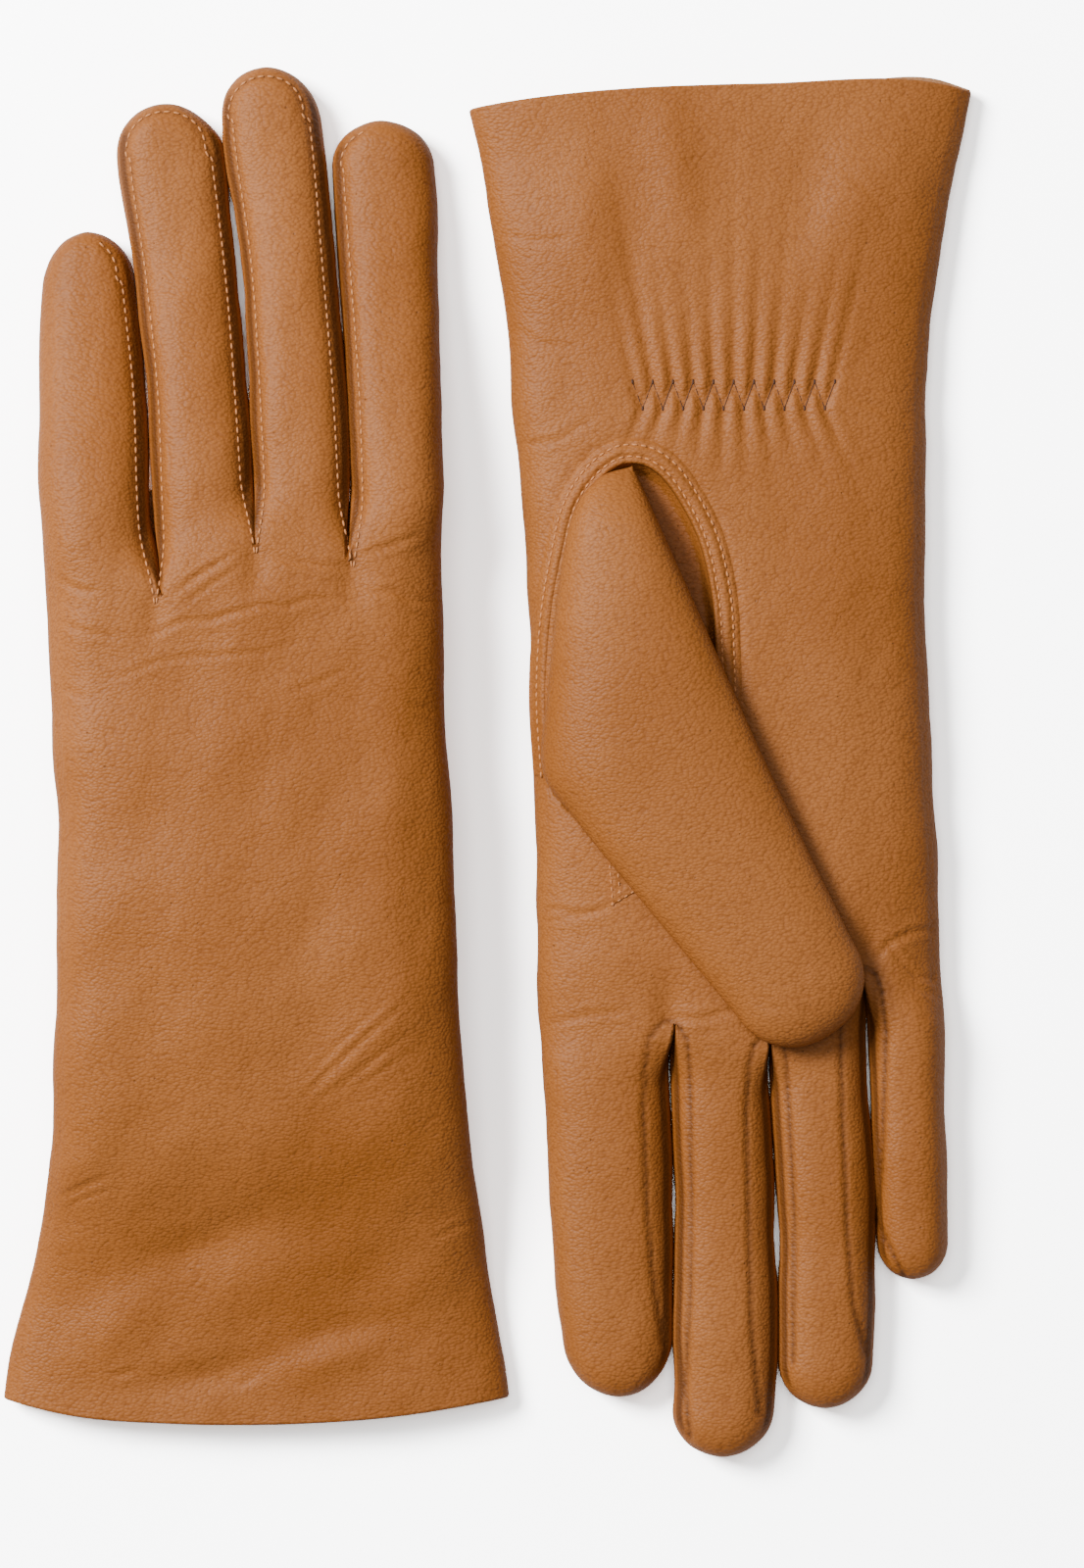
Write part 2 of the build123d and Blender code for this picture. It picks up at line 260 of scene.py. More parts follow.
def leather_grain():
    """The shared grain: its height, its pores and its slow drift of tone."""
    tree, inside, outside = new_group(
        "leather grain",
        {"Grain per metre": 1900.0, "Pores per metre": 420.0},
        {"Height": "NodeSocketFloat", "Pores": "NodeSocketFloat", "Tone": "NodeSocketFloat",
         "Valley": "NodeSocketFloat"},
    )
    place = node(tree, "ShaderNodeTexCoord").outputs["Object"]
    warp = node(tree, "ShaderNodeTexNoise", {"Vector": place}, Scale=160.0, Detail=2.0)
    centred = node(tree, "ShaderNodeVectorMath", {0: warp.outputs["Color"]}, operation="SUBTRACT")
    centred.inputs[1].default_value = (0.5, 0.5, 0.5)
    moved = node(tree, "ShaderNodeVectorMath", {0: centred.outputs[0]}, operation="SCALE")
    moved.inputs["Scale"].default_value = 0.0011
    bent = node(tree, "ShaderNodeVectorMath", {0: place, 1: moved.outputs[0]}, operation="ADD").outputs[0]
    turned = node(tree, "ShaderNodeMapping", {"Vector": bent})
    turned.inputs["Rotation"].default_value = (0.0, 0.0, 0.5)
    turned.inputs["Scale"].default_value = (0.62, 1.0, 1.0)
    cells = node(tree, "ShaderNodeTexVoronoi",
                 {"Vector": turned.outputs[0], "Scale": inside.outputs["Grain per metre"]},
                 feature="SMOOTH_F1")
    cells.inputs["Smoothness"].default_value = 0.35
    fine = node(tree, "ShaderNodeTexNoise", {"Vector": bent}, Scale=2600.0, Detail=3.0)
    broad = node(tree, "ShaderNodeTexNoise", {"Vector": place}, Scale=95.0, Detail=4.0)
    valley = math_node(tree, "POWER", cells.outputs["Distance"], 1.6)
    height = math_node(tree, "MULTIPLY_ADD", valley, -0.85, 0.5)
    height = math_node(tree, "MULTIPLY_ADD", fine.outputs[0], 0.28, height)
    height = math_node(tree, "MULTIPLY_ADD", broad.outputs[0], 0.16, height)
    holes = node(tree, "ShaderNodeTexVoronoi", {"Vector": bent, "Scale": inside.outputs["Pores per metre"]})
    where = node(tree, "ShaderNodeTexNoise", {"Vector": place}, Scale=70.0, Detail=1.0)
    size = math_node(tree, "MULTIPLY_ADD", where.outputs[0], 0.28, -0.055)
    size = math_node(tree, "MAXIMUM", size, 0.001)
    hole = node(tree, "ShaderNodeMapRange", {"Value": holes.outputs["Distance"], "From Max": size})
    hole.inputs["To Min"].default_value, hole.inputs["To Max"].default_value = 1.0, 0.0
    drift = node(tree, "ShaderNodeTexNoise", {"Vector": place}, Scale=22.0, Detail=3.0, Roughness=0.45)
    links = tree.links
    links.new(height, outside.inputs["Height"])
    links.new(hole.outputs[0], outside.inputs["Pores"])
    links.new(drift.outputs[0], outside.inputs["Tone"])
    links.new(cells.outputs["Distance"], outside.inputs["Valley"])
    return tree


GRAIN = leather_grain()


def new_material(name):
    """A new material, its node tree and its shader."""
    material = bpy.data.materials.new(name)
    material.use_nodes = True
    return material, material.node_tree, material.node_tree.nodes["Principled BSDF"]


def leather(name, light, dark, deep, roughness=0.50, bump=0.00025):
    """A leather with its light, dark and deepest tones; the deepest tone colours its pores and the painted shade in
    its grain's hollows and along its seams. The bump is in metres.
    """
    material, tree, shader = new_material(name)
    grain = node(tree, "ShaderNodeGroup", node_tree=GRAIN)
    seam_shade = node(tree, "ShaderNodeAttribute", attribute_name="seam_shade")
    tone = node(tree, "ShaderNodeMapRange", {"Value": grain.outputs["Tone"]}, From_Min=0.32, From_Max=0.68)
    colour = mix_colour(tree, tone.outputs[0], (*dark, 1), (*light, 1))
    # Painted shade: the grain's hollows are mixed towards the deepest tone.
    shade = node(tree, "ShaderNodeMapRange", {"Value": grain.outputs["Valley"]}, From_Min=0.25,
                 From_Max=0.85, To_Max=0.5)
    colour = mix_colour(tree, shade.outputs[0], colour, (*deep, 1))
    pores = math_node(tree, "MULTIPLY", grain.outputs["Pores"], 0.75)
    colour = mix_colour(tree, pores, colour, tuple(0.25 * c for c in deep) + (1,))
    # Painted shade: a point attribute darkens the colour along seams, stitch lines and the thumb hole's inner edge.
    edge = math_node(tree, "MULTIPLY", seam_shade.outputs["Fac"], 0.8)
    colour = mix_colour(tree, edge, colour, tuple(0.3 * c for c in deep) + (1,))
    rough = node(tree, "ShaderNodeMapRange", {"Value": grain.outputs["Tone"]}, To_Min=roughness - 0.05,
                 To_Max=roughness + 0.06)
    pit = math_node(tree, "MULTIPLY_ADD", grain.outputs["Pores"], -0.6, grain.outputs["Height"])
    bumped = node(tree, "ShaderNodeBump", {"Height": pit}, Strength=0.65, Distance=bump)
    tree.links.new(colour, shader.inputs["Base Color"])
    tree.links.new(rough.outputs[0], shader.inputs["Roughness"])
    tree.links.new(bumped.outputs[0], shader.inputs["Normal"])
    shader.inputs["Specular IOR Level"].default_value = 0.20
    return material


LEATHER = leather("cognac_nappa", light=(0.345, 0.118, 0.026), dark=(0.285, 0.090, 0.015),
                  deep=(0.19, 0.052, 0.006))

FINGERS = ("little", "ring", "middle", "index")
COLUMNS = 30  # across each finger's back or palm
WALL = 10  # down each side
ROW = 0.7  # from one row to the next, along the glove
CUT = 194.0  # where the hand's piece ends and the fingers' begin
TURN = 12.0  # the length over which a finger's leather bends
HAND_ROWS = round(170 / ROW)
ROOT_ROWS = int(26 / ROW)  # from a finger's root, at the fork, to the cut
ROOT_BLEND = 13.0  # the length over which the hand's shape turns into the finger's
CUT_MIDDLE = -3.0  # where across the glove the slanting cut is at CUT

SPEC = {
    "left": dict(
        lean=4.0,
        low=[(0, -51.3), (2.4, -51.0), (28, -45.9), (52, -41.6), (82, -39.8), (118, -39.5), (148, -41.0),
             (200, -43.2)],
        high=[(0, 52.2), (2.4, 51.7), (28, 48.3), (52, 45.0), (82, 42.4), (118, 40.9), (148, 39.0),
              (200, 38.9)],
        lift=[(0, 0), (22, 0.2), (40, 3.2), (60, 8.6), (78, 10.4), (150, 10.6), (178, 10.4), (196, 10.0)],
        height=[(0, 9.4), (20, 10.2), (50, 11.6), (90, 13.2), (150, 13.4), (200, 12.2)],
        forks=[(-19.1, 168.0, 176.5), (1.1, 178.2, 191.0), (20.7, 175.4, 188.0)],
        fingers={
            "little": dict(
                low=[(168, -42.2), (208, -43.5), (232, -43.3), (243, -42.6)],
                high=[(168, -19.1), (186, -20.6), (208, -21.6), (232, -24.3), (243, -25.4)],
                tip=243.6, round=11.0),
            "ring": dict(
                low=[(168, -19.1), (186, -20.1), (208, -21.1), (232, -23.7), (256, -27.2), (268, -28.2)],
                high=[(178, 1.1), (208, -0.9), (232, -3.0), (256, -5.9), (268, -7.4)],
                tip=269.8, round=11.0),
            "middle": dict(
                low=[(178, 1.1), (208, -0.4), (238, -2.7), (261, -6.0), (275, -7.4)],
                high=[(175, 20.7), (208, 19.0), (238, 16.4), (261, 14.3), (275, 12.6)],
                tip=277.0, round=11.0),
            "index": dict(
                low=[(175, 20.7), (208, 19.7), (238, 17.4), (256, 16.1), (266, 15.6)],
                high=[(175, 39.9), (208, 38.6), (238, 37.6), (256, 36.9), (266, 36.4)],
                tip=266.2, round=10.0),
        },
    ),
    "right": dict(
        lean=1.5,
        low=[(0, -51.3), (23, -46.4), (43, -43.2), (67, -41.8), (97, -41.7), (133, -42.9), (163, -44.5),
             (200, -45.5)],
        high=[(0, 51.3), (23, 47.3), (43, 44.4), (67, 42.1), (97, 39.8), (133, 38.6), (163, 37.9),
              (200, 36.8)],
        lift=[(0, 0), (100, 0), (200, 0)],
        height=[(0, 9.6), (20, 10.6), (50, 11.8), (90, 13.4), (150, 13.4), (200, 12.2)],
        forks=[(-29.7, 177.4, 168.0), (-9.7, 191.0, 178.2), (10.6, 188.4, 175.4)],
        fingers={
            "little": dict(
                low=[(168, -44.9), (181, -45.3), (211, -45.8), (229, -46.3), (241, -46.4)],
                high=[(168, -29.5), (181, -29.7), (211, -30.8), (229, -31.8), (241, -32.2)],
                tip=241.0, round=8.0),
            "ring": dict(
                low=[(168, -29.5), (193, -29.5), (223, -31.2), (253, -31.0), (266, -30.6)],
                high=[(178, -9.5), (193, -9.8), (223, -11.4), (253, -12.0), (266, -12.0)],
                tip=267.2, round=10.0),
            "middle": dict(
                low=[(178, -9.5), (193, -9.1), (223, -10.7), (253, -11.2), (275, -10.4)],
                high=[(175, 10.6), (193, 10.5), (223, 9.5), (253, 9.8), (275, 9.9)],
                tip=277.0, round=10.5),
            "index": dict(
                low=[(175, 10.6), (193, 11.0), (223, 10.0), (247, 10.2), (264, 10.4)],
                high=[(175, 37.6), (193, 36.9), (223, 35.3), (247, 33.2), (264, 31.6)],
                tip=264.9, round=12.0),
        },
    ),
}
HAND_FLAT, FINGER_FLAT = 6.0, 2.5  # how square the edges are; larger is squarer
TUCK = -0.22  # how far a fourchette lies in behind the leather it is sewn to; below 0 it stands out
HAND_SEAM, FINGER_SEAM = 0.955, 0.87  # where the top sheet ends, as a share of the half width
HAND_UNDER, FINGER_UNDER = 0.36, 0.40  # the share of the height that lies below the widest place
TIP_HOLE = 0.004  # how far short of its tip a finger's last row stops; a narrow slit stays open there


def fall(spec, v, tip):
    """How far the fingers come down from the hand to the table, towards their tips."""
    lift = curve(spec["lift"], np.minimum(v, 196.0))
    return lift * ease(184.0, tip - 6.0, v)


def oval():
    """A finger's section, one unit each way: its top sheet, a side, its bottom sheet, the other side."""
    across = np.linspace(-1, 1, COLUMNS + 1) * FINGER_SEAM
    crown = np.sqrt(1 - np.abs(across) ** FINGER_FLAT)
    down = np.linspace(1, -1, WALL + 1)[1:-1] * math.sqrt(1 - FINGER_SEAM**FINGER_FLAT)
    out = (1 - down**2) ** (1 / FINGER_FLAT)
    return (np.concatenate([across, out, across[::-1], -out]),
            np.concatenate([crown, down, -crown[::-1], down[::-1]]))


class Skin:
    """Points and faces gathered from grids, with a name for each face."""

    def __init__(self):
        self.points, self.faces, self.names, self.count = [], [], [], 0

    def grid(self, points, name, loop=False):
        """Adds a grid of points, row by row; a loop's last column joins its first."""
        rows, columns = points.shape[:2]
        index = self.count + np.arange(rows * columns).reshape(rows, columns)
        if loop:
            index = np.concatenate([index, index[:, :1]], axis=1)
        a, b, c, d = index[:-1, :-1], index[:-1, 1:], index[1:, 1:], index[1:, :-1]
        faces = np.stack([a, b, c, d], axis=-1)
        self.points.append(points.reshape(-1, points.shape[-1]))
        self.faces.append(faces.reshape(-1, 4))
        name = np.broadcast_to(np.asarray(name, dtype=object), faces.shape[:2])
        self.names.append(name.reshape(-1))
        self.count += rows * columns

    def welded(self):
        """The points, faces and face names with touching points made one; a fourth column holds the painted shade
        along the seams.
        """
        points = np.concatenate(self.points)
        faces, names = np.concatenate(self.faces), np.concatenate(self.names)
        keys = np.round(points[:, :3] / 0.002).astype(np.int64)
        _, first, back = np.unique(keys, axis=0, return_index=True, return_inverse=True)
        return points[first], back.reshape(-1)[faces], names


def normals(points, faces):
    """A smooth normal at each point."""
    points = points[:, :3]
    a, b, c, d = (points[faces[:, i]] for i in range(4))
    face = np.cross(c - a, d - b)
    out = np.zeros_like(points)
    for i in range(4):
        np.add.at(out, faces[:, i], face)
    return out / np.maximum(np.linalg.norm(out, axis=1, keepdims=True), 1e-12)


def hand_rows(spec):
    """The hand's sheets and sides as one loop of columns, from the cuff's mouth to each column's root."""
    forks = spec["forks"]
    top_ends = [forks[0][1]] + [f[1] for f in forks] + [forks[2][1]]
    bottom_ends = [forks[0][2]] + [f[2] for f in forks] + [forks[2][2]]
    low, high = curve(spec["low"], 178.0), curve(spec["high"], 178.0)
    shares = [-1.0] + [2 * (f[0] - low) / (high - low) - 1 for f in forks] + [1.0]
    across, top_end, bottom_end = [], [], []
    for k in range(4):
        part = np.linspace(0, 1, COLUMNS + 1)[: None if k == 3 else -1]
        across += list(shares[k] + (shares[k + 1] - shares[k]) * part)
        top_end += list(top_ends[k] + (top_ends[k + 1] - top_ends[k]) * part)
        bottom_end += list(bottom_ends[k] + (bottom_ends[k + 1] - bottom_ends[k]) * part)
    across, top_end, bottom_end = map(np.array, (across, top_end, bottom_end))
    side = np.linspace(0, 1, WALL + 1)[1:-1]
    high_end = top_end[-1] + (bottom_end[-1] - top_end[-1]) * side
    low_end = bottom_end[0] + (top_end[0] - bottom_end[0]) * side
    ends = np.concatenate([top_end, high_end, bottom_end[::-1], low_end])
    v = np.linspace(0, 1, HAND_ROWS + 1)[:, None] * ends[None, :]
    return across, v, len(top_end)


def hand_section(spec, v, across, sheet):
    """Points on the hand at v. sheet is +1 on top, -1 underneath, or from 1 to -1 down a side."""
    low, high = curve(spec["low"], v), curve(spec["high"], v)
    middle, half = (low + high) / 2, (high - low) / 2
    height = curve(spec["height"], v)
    bottom = HAND_UNDER * height
    top = height - bottom
    edge = math.sqrt(1 - HAND_SEAM**HAND_FLAT)
    on_side = np.abs(sheet) < 1
    down = np.where(on_side, sheet * edge, 0.0)
    share = np.where(on_side, np.sign(across) * (1 - down**2) ** (1 / HAND_FLAT), across * HAND_SEAM)
    crown = np.sqrt(np.maximum(1 - np.abs(share) ** HAND_FLAT, 0))
    rise = np.where(on_side, down, np.sign(sheet) * crown)
    z = bottom + np.where(rise > 0, rise * top, rise * bottom)
    sag = 0.10 * (1 - np.abs(share) ** 2.5) * np.where(rise > 0, rise, 0)
    return middle + share * half, z * (0.93 + sag) + curve(spec["lift"], v)


def finger_cut(spec, finger):
    """Where the middle of a finger's cut is, across and along, and how the cut slants."""
    f = spec["fingers"][finger]
    slant = math.tan(math.radians(spec["lean"]))
    u = (curve(f["low"], CUT) + curve(f["high"], CUT)) / 2
    return u, CUT + (u - CUT_MIDDLE) * slant, slant


def root_ring(root, k, top_count):
    """A finger's share of the hand's last row, with a web to each finger beside it."""
    bottom_start = top_count + WALL - 1
    web = np.linspace(0, 1, WALL + 1)[1:-1]
    top = slice(k * COLUMNS, (k + 1) * COLUMNS + 1)
    bottom = slice(bottom_start + (3 - k) * COLUMNS, bottom_start + (4 - k) * COLUMNS + 1)
    ring = []
    for row in root:
        over, under = row[top], row[bottom]
        high = row[top_count:bottom_start] if k == 3 else over[-1] + (under[0] - over[-1]) * web
        low = row[bottom_start + top_count:] if k == 0 else under[-1] + (over[0] - under[-1]) * web
        ring.append(np.concatenate([over, high, under, low])[None, :])
    return ring


def finger_rows(f, first, cut):
    """Where a finger's rows lie along it: from its root to the cut, on to its round tip and round that."""
    near = first + (cut - first) * np.linspace(0, 1, ROOT_ROWS + 1)[:, None]
    round_start = f["tip"] - f["round"]
    straight = np.arange(cut + ROW, round_start, ROW)
    turn = np.sin(np.linspace(0, math.pi / 2, int(f["round"] * 1.5 / ROW) + 1))
    far = np.concatenate([straight, round_start + f["round"] * turn[:-1] * 0.9995, [f["tip"] - TIP_HOLE]])
    return np.concatenate([near, np.repeat(far[:, None], first.shape[1], axis=1)])


def sewn_edges(k, count):
    """How much painted shade each column of a finger takes where a fourchette is sewn in, and how far it is tucked in.
    """
    dark, tucked = np.zeros(count), np.zeros(count)
    if k < 3:
        dark[[COLUMNS, COLUMNS + WALL]] = 1.0
        dark[[COLUMNS + 1, COLUMNS + WALL - 1]] = 0.8
        tucked[COLUMNS + 1 : COLUMNS + WALL] = TUCK
    if k > 0:
        dark[[0, 2 * COLUMNS + WALL]] = 1.0
        dark[[-1, 2 * COLUMNS + WALL + 1]] = 0.8
        tucked[2 * COLUMNS + WALL + 1 :] = TUCK
    return dark[None, :], tucked[None, :]


def finger_shape(spec, f, v, past, tucked):
    """Across and up at a finger's points: an oval that narrows at the tip and comes down to the table.

    Also its middle line and the hand's lift, which the root's points follow."""
    low, high = curve(f["low"], v), curve(f["high"], v)
    middle, half = (low + high) / 2, (high - low) / 2
    taper = np.sqrt(np.maximum(1 - past**2.2, 1e-6))
    height = curve(spec["height"], np.minimum(v, 199.0)) * (1 - 0.10 * ease(200, f["tip"], v))
    puff = 0.25 + 0.75 * np.sqrt(np.maximum(1 - past**3.0, 0))
    full = height * np.minimum(puff, 0.12 + 2.2 * taper)
    lower = FINGER_UNDER * full
    across, rise = oval()
    u = middle + across * (half * taper - tucked * (1 - ease(0.3, 0.9, past)))
    z = FINGER_UNDER * height + np.where(rise > 0, rise * (full - lower), rise * lower)
    lift = curve(spec["lift"], np.minimum(v, 196.0))
    return u, z * 0.97 + lift - fall(spec, v, f["tip"]), middle, lift


def face_names(finger, k, f, v):
    """A name for each of a finger's faces: its own, a fourchette's, or the hand's part of one."""
    walls = np.full(v.shape[1], finger, dtype=object)
    if k < 3:
        walls[COLUMNS : COLUMNS + WALL] = finger + "_outer_fourchette"
    if k > 0:
        walls[2 * COLUMNS + WALL :] = finger + "_inner_fourchette"
    names = np.broadcast_to(walls[None, :], (len(v) - 1, len(walls))).copy()
    names[v[1:] > f["tip"] - f["round"] * 0.75] = finger
    names[:ROOT_ROWS] = [["hand" if name == finger else "hand_" + name for name in walls]]
    return names


def glove_skin(glove):
    """The whole skin of one glove, as a welded mesh with a name for each face, in the glove's own frame."""
    spec = SPEC[glove]
    skin = Skin()
    across, v, top_count = hand_rows(spec)
    side = np.linspace(1, -1, WALL + 1)[1:-1]
    shares = np.concatenate([across, np.ones(len(side)), across[::-1], -np.ones(len(side))])
    sheet = np.concatenate([np.ones(top_count), side, -np.ones(top_count), side[::-1]])
    u, z = hand_section(spec, v, shares[None, :], sheet[None, :])
    skin.grid(np.stack([u, v, z, np.zeros_like(z)], axis=-1), "hand", loop=True)
    root = u[-1], v[-1], z[-1]
    for k, finger in enumerate(FINGERS):
        f = spec["fingers"][finger]
        root_u, first, root_z = root_ring(root, k, top_count)
        v = finger_rows(f, first, finger_cut(spec, finger)[1])
        past = np.clip((v - (f["tip"] - f["round"])) / f["round"], 0, 1)
        dark, tucked = sewn_edges(k, v.shape[1])
        finger_u, finger_z, middle, lift = finger_shape(spec, f, v, past, tucked)
        hand_u = root_u + (middle - middle[0:1])
        hand_z = root_z + lift - curve(spec["lift"], first)
        blend = ease(0.0, ROOT_BLEND, v - first)
        u = hand_u + (finger_u - hand_u) * blend
        z = hand_z + (finger_z - hand_z) * blend
        # Painted shade along the fourchettes' seams, fading out towards the tip and at the root.
        seam_shade = dark * (1 - ease(0.25, 0.7, past)) * ease(0.5, 5.0, v - first)
        skin.grid(np.stack([u, v, z, seam_shade], axis=-1), face_names(finger, k, f, v), loop=True)
    return skin.welded()


MOUTH = {  # how the cuff's mouth bows, as v along the top sheet's edge and along the bottom sheet's
    "left": (
        [(-52, 5.2), (-36, 1.8), (-15, 0.4), (8, 0.4), (30, 2.0), (52, 5.4)],
        [(-52, 5.2), (-36, 2.6), (-15, 1.6), (8, 1.6), (30, 2.8), (52, 5.4)],
    ),
    "right": (
        [(-52, -1.6), (-46, -2.9), (-10, -2.9), (34, -0.6), (52, 1.8)],
        [(-52, -1.9), (-44, -4.6), (-28, -4.3), (-12, -2.4), (34, 0.4), (52, 1.8)],
    ),
}


def along(points, path):
    """Each point's distance from a path in plan, and how far along the path its nearest place is."""
    path = np.array(path, float)
    best = np.full(len(points), 1e9)
    where = np.zeros(len(points))
    start = 0.0
    for a, b in zip(path[:-1], path[1:]):
        d = b - a
        length = np.hypot(*d)
        t = np.clip(((points - a) @ d) / length**2, 0, 1)
        away = np.hypot(*(points - a - t[:, None] * d).T)
        near = away < best
        best = np.where(near, away, best)
        where = np.where(near, start + t * length, where)
        start += length
    return best, where, start


def crease(points, path, depth, width):
    """A fold pressed into the leather along a path, deepest in the middle of it."""
    low, high = np.min(path, axis=0) - 6 * width, np.max(path, axis=0) + 6 * width
    near = ((points > low) & (points < high)).all(axis=1)
    away, where, length = along(points[near], path)
    fade = np.sin(math.pi * np.clip(where / length, 0.02, 0.98)) ** 0.6
    lip = 0.45 * np.exp(-(((away - 1.7 * width) / width) ** 2))
    out = np.zeros(len(points))
    out[near] = depth * fade * (lip - np.exp(-((away / width) ** 2)))
    return out


def ripples(points, seed, sizes, amount):
    """Soft uneven waves, as in leather that has been worn and laid flat."""
    rng = np.random.default_rng(seed)
    out = np.zeros(len(points))
    for size in sizes:
        for _ in range(5):
            angle = rng.uniform(0, math.pi)
            wave = rng.uniform(0.8, 1.3) * size
            phase = rng.uniform(0, 2 * math.pi)
            out += np.sin((points @ [math.cos(angle), math.sin(angle)]) * 2 * math.pi / wave + phase) * size
    return amount * out / (5 * sum(sizes))


def swell(points, middle, size, turn, amount):
    """A soft rise (or a dip, where amount is negative), size long and wide, turned by turn degrees."""
    c, s = math.cos(math.radians(turn)), math.sin(math.radians(turn))
    d = points - np.array(middle)
    a, b = (d @ [c, s]) / size[0], (d @ [-s, c]) / size[1]
    return amount * np.exp(-(a * a + b * b))


CREASES = {  # each with its path, its depth and its width
    "left": [
        ([(-23.7, 160.4), (-19.1, 160.8), (-13.7, 163.2), (-8.3, 163.4), (-3.1, 165.0), (2.3, 166.4),
          (7.7, 166.0), (11.7, 167.8), (18.3, 167.4), (23.7, 167.6)], 0.30, 0.7),
        ([(3.7, 177.2), (7.7, 175.4), (14.3, 174.4), (20.3, 174.0)], 0.30, 0.7),
        ([(22.3, 170.0), (26.3, 169.0), (28.9, 169.4), (32.9, 167.4), (37.7, 166.8)], 0.32, 0.7),
        ([(22.3, 176.4), (27.7, 178.4), (34.3, 180.8)], 0.22, 0.8),
        ([(-30.3, 152.0), (-25.7, 152.0), (-19.1, 155.0), (-12.3, 156.0), (-4.3, 156.4), (2.9, 157.0),
          (11.7, 159.4)],
         0.20, 0.7),
        ([(-39.7, 172.4), (-35.1, 169.8), (-30.3, 169.0)], 0.24, 0.7),
        ([(-15.1, 169.0), (-9.7, 173.0), (-3.1, 176.8)], 0.24, 0.7),
        ([(-13.5, 166.5), (-8.0, 170.4), (-1.5, 174.4)], 0.18, 0.6),
        ([(7.7, 148.8), (14.3, 151.0), (19.7, 153.8)], 0.20, 0.7),
        ([(31.7, 146.8), (37.7, 144.8)], 0.22, 0.7),
        ([(-39.5, 163.5), (-33.0, 161.0), (-26.5, 160.0)], 0.18, 0.8),
        ([(-38.5, 150.0), (-33.0, 147.6)], 0.16, 0.8),
        ([(10.7, 67.2), (18.0, 74.4), (24.5, 80.5), (31.5, 86.4)], 0.22, 0.8),
        ([(13.5, 66.2), (21.0, 71.4), (27.0, 76.5), (32.3, 80.0)], 0.18, 0.8),
        ([(9.5, 69.6), (15.0, 74.8), (21.5, 81.5), (28.5, 87.4)], 0.14, 0.7),
        ([(16.5, 67.0), (24.5, 71.0), (31.0, 76.0)], 0.12, 0.7),
        ([(-38.9, 46.4), (-34.1, 48.8), (-29.3, 50.8)], 0.24, 0.8),
        ([(-38.0, 44.2), (-33.0, 47.0), (-28.0, 48.2)], 0.16, 0.7),
        ([(-29.0, 8.4), (-24.0, 10.4)], 0.22, 0.8),
        ([(-7.0, 9.4), (-3.0, 7.4), (1.5, 10.0)], 0.20, 0.8),
        ([(36.0, 37.0), (41.0, 40.0), (45.0, 40.8)], 0.16, 0.7),
    ],
    "right": [
        ([(37.3, 165.4), (33.3, 164.8), (29.3, 166.0), (25.3, 165.2), (21.3, 163.6)], 0.34, 0.7),
        ([(36.7, 167.4), (31.3, 166.6), (27.3, 167.6)], 0.20, 0.7),
        ([(-45.5, 169.0), (-39.0, 169.4), (-33.7, 172.0), (-31.0, 175.4)], 0.30, 0.8),
        ([(-44.5, 179.6), (-39.7, 178.6), (-36.0, 175.0), (-33.0, 171.0)], 0.26, 0.8),
        ([(-45.0, 183.4), (-40.0, 181.0), (-36.0, 178.0)], 0.18, 0.8),
        ([(13.3, 186.4), (5.3, 187.4), (-2.0, 185.6), (-7.0, 186.8)], 0.26, 0.8),
        ([(35.3, 188.4), (27.3, 186.4), (18.3, 185.4)], 0.20, 0.8),
        ([(43.0, 46.0), (36.0, 50.0), (30.0, 50.4)], 0.18, 0.8),
        ([(45.0, 27.0), (37.0, 29.0), (30.0, 28.6)], 0.18, 0.8),
        ([(41.3, 70.4), (33.3, 69.4), (26.3, 64.8)], 0.22, 0.8),
        ([(-25.0, 60.0), (-32.0, 63.0), (-38.0, 65.4)], 0.26, 0.8),
        ([(-20.0, 14.0), (-27.0, 18.4), (-34.0, 25.0)], 0.18, 0.8),
    ],
}
SWELLS = {  # each with its middle, its size, its turn and its height
    "left": [
        ((-12.0, 36.0), (16, 4.5), 24, -0.9), ((2.0, 30.0), (15, 7.0), 20, 0.9),
        ((15.0, 13.0), (9, 4.0), 10, 1.0), ((-9.0, 9.5), (15, 3.4), 12, -0.9),
        ((18.0, 18.0), (13, 3.4), 12, -0.7), ((-28.0, 18.0), (12, 6.0), 40, 0.8),
        ((35.0, 24.0), (9, 8.0), 30, 0.7), ((-36.0, 52.0), (8, 4.0), 30, 0.5),
        ((24.0, 77.0), (13, 6.0), 45, 0.6), ((-33.0, 118.0), (4.5, 50.0), 0, 0.5),
        ((-4.0, 120.0), (8.0, 60.0), 0, 0.35), ((29.0, 120.0), (5.0, 55.0), 0, 0.5),
        ((-20.0, 120.0), (5.0, 45.0), 0, -0.35), ((13.0, 120.0), (5.0, 55.0), 0, -0.35),
    ],
    "right": [
        ((9.0, 18.0), (5.0, 13.0), 10, 0.9), ((-26.0, 24.0), (7.0, 12.0), -25, 1.0),
        ((-38.0, 20.0), (5.0, 9.0), 20, 0.6), ((28.0, 24.0), (7.0, 12.0), 0, 0.7),
        ((-17.0, 22.0), (5.0, 14.0), -12, -0.6), ((18.5, 34.0), (4.0, 14.0), 8, -0.7),
        ((-22.0, 120.0), (9.0, 45.0), 0, 0.5), ((-37.0, 110.0), (5.0, 45.0), 0, 0.3),
        ((31.0, 150.0), (8.0, 14.0), 0, 0.4), ((25.0, 176.0), (12.0, 6.0), 0, 0.5),
        ((0.0, 178.0), (10.0, 6.0), 0, 0.4), ((38.0, 55.0), (5.0, 14.0), 0, 0.5),
    ],
}
GATHER = dict(top=57.5, bottom=63.0, start=18.3, end=-22.9, teeth=10)


def zigzag():
    """The corners of the zigzag row that holds the elastic."""
    pitch = (GATHER["start"] - GATHER["end"]) / GATHER["teeth"]
    corners = []
    for i in range(GATHER["teeth"]):
        u = GATHER["start"] - i * pitch
        corners += [(u, GATHER["top"]), (u - pitch / 2, GATHER["bottom"])]
    return corners + [(GATHER["end"], GATHER["top"])]


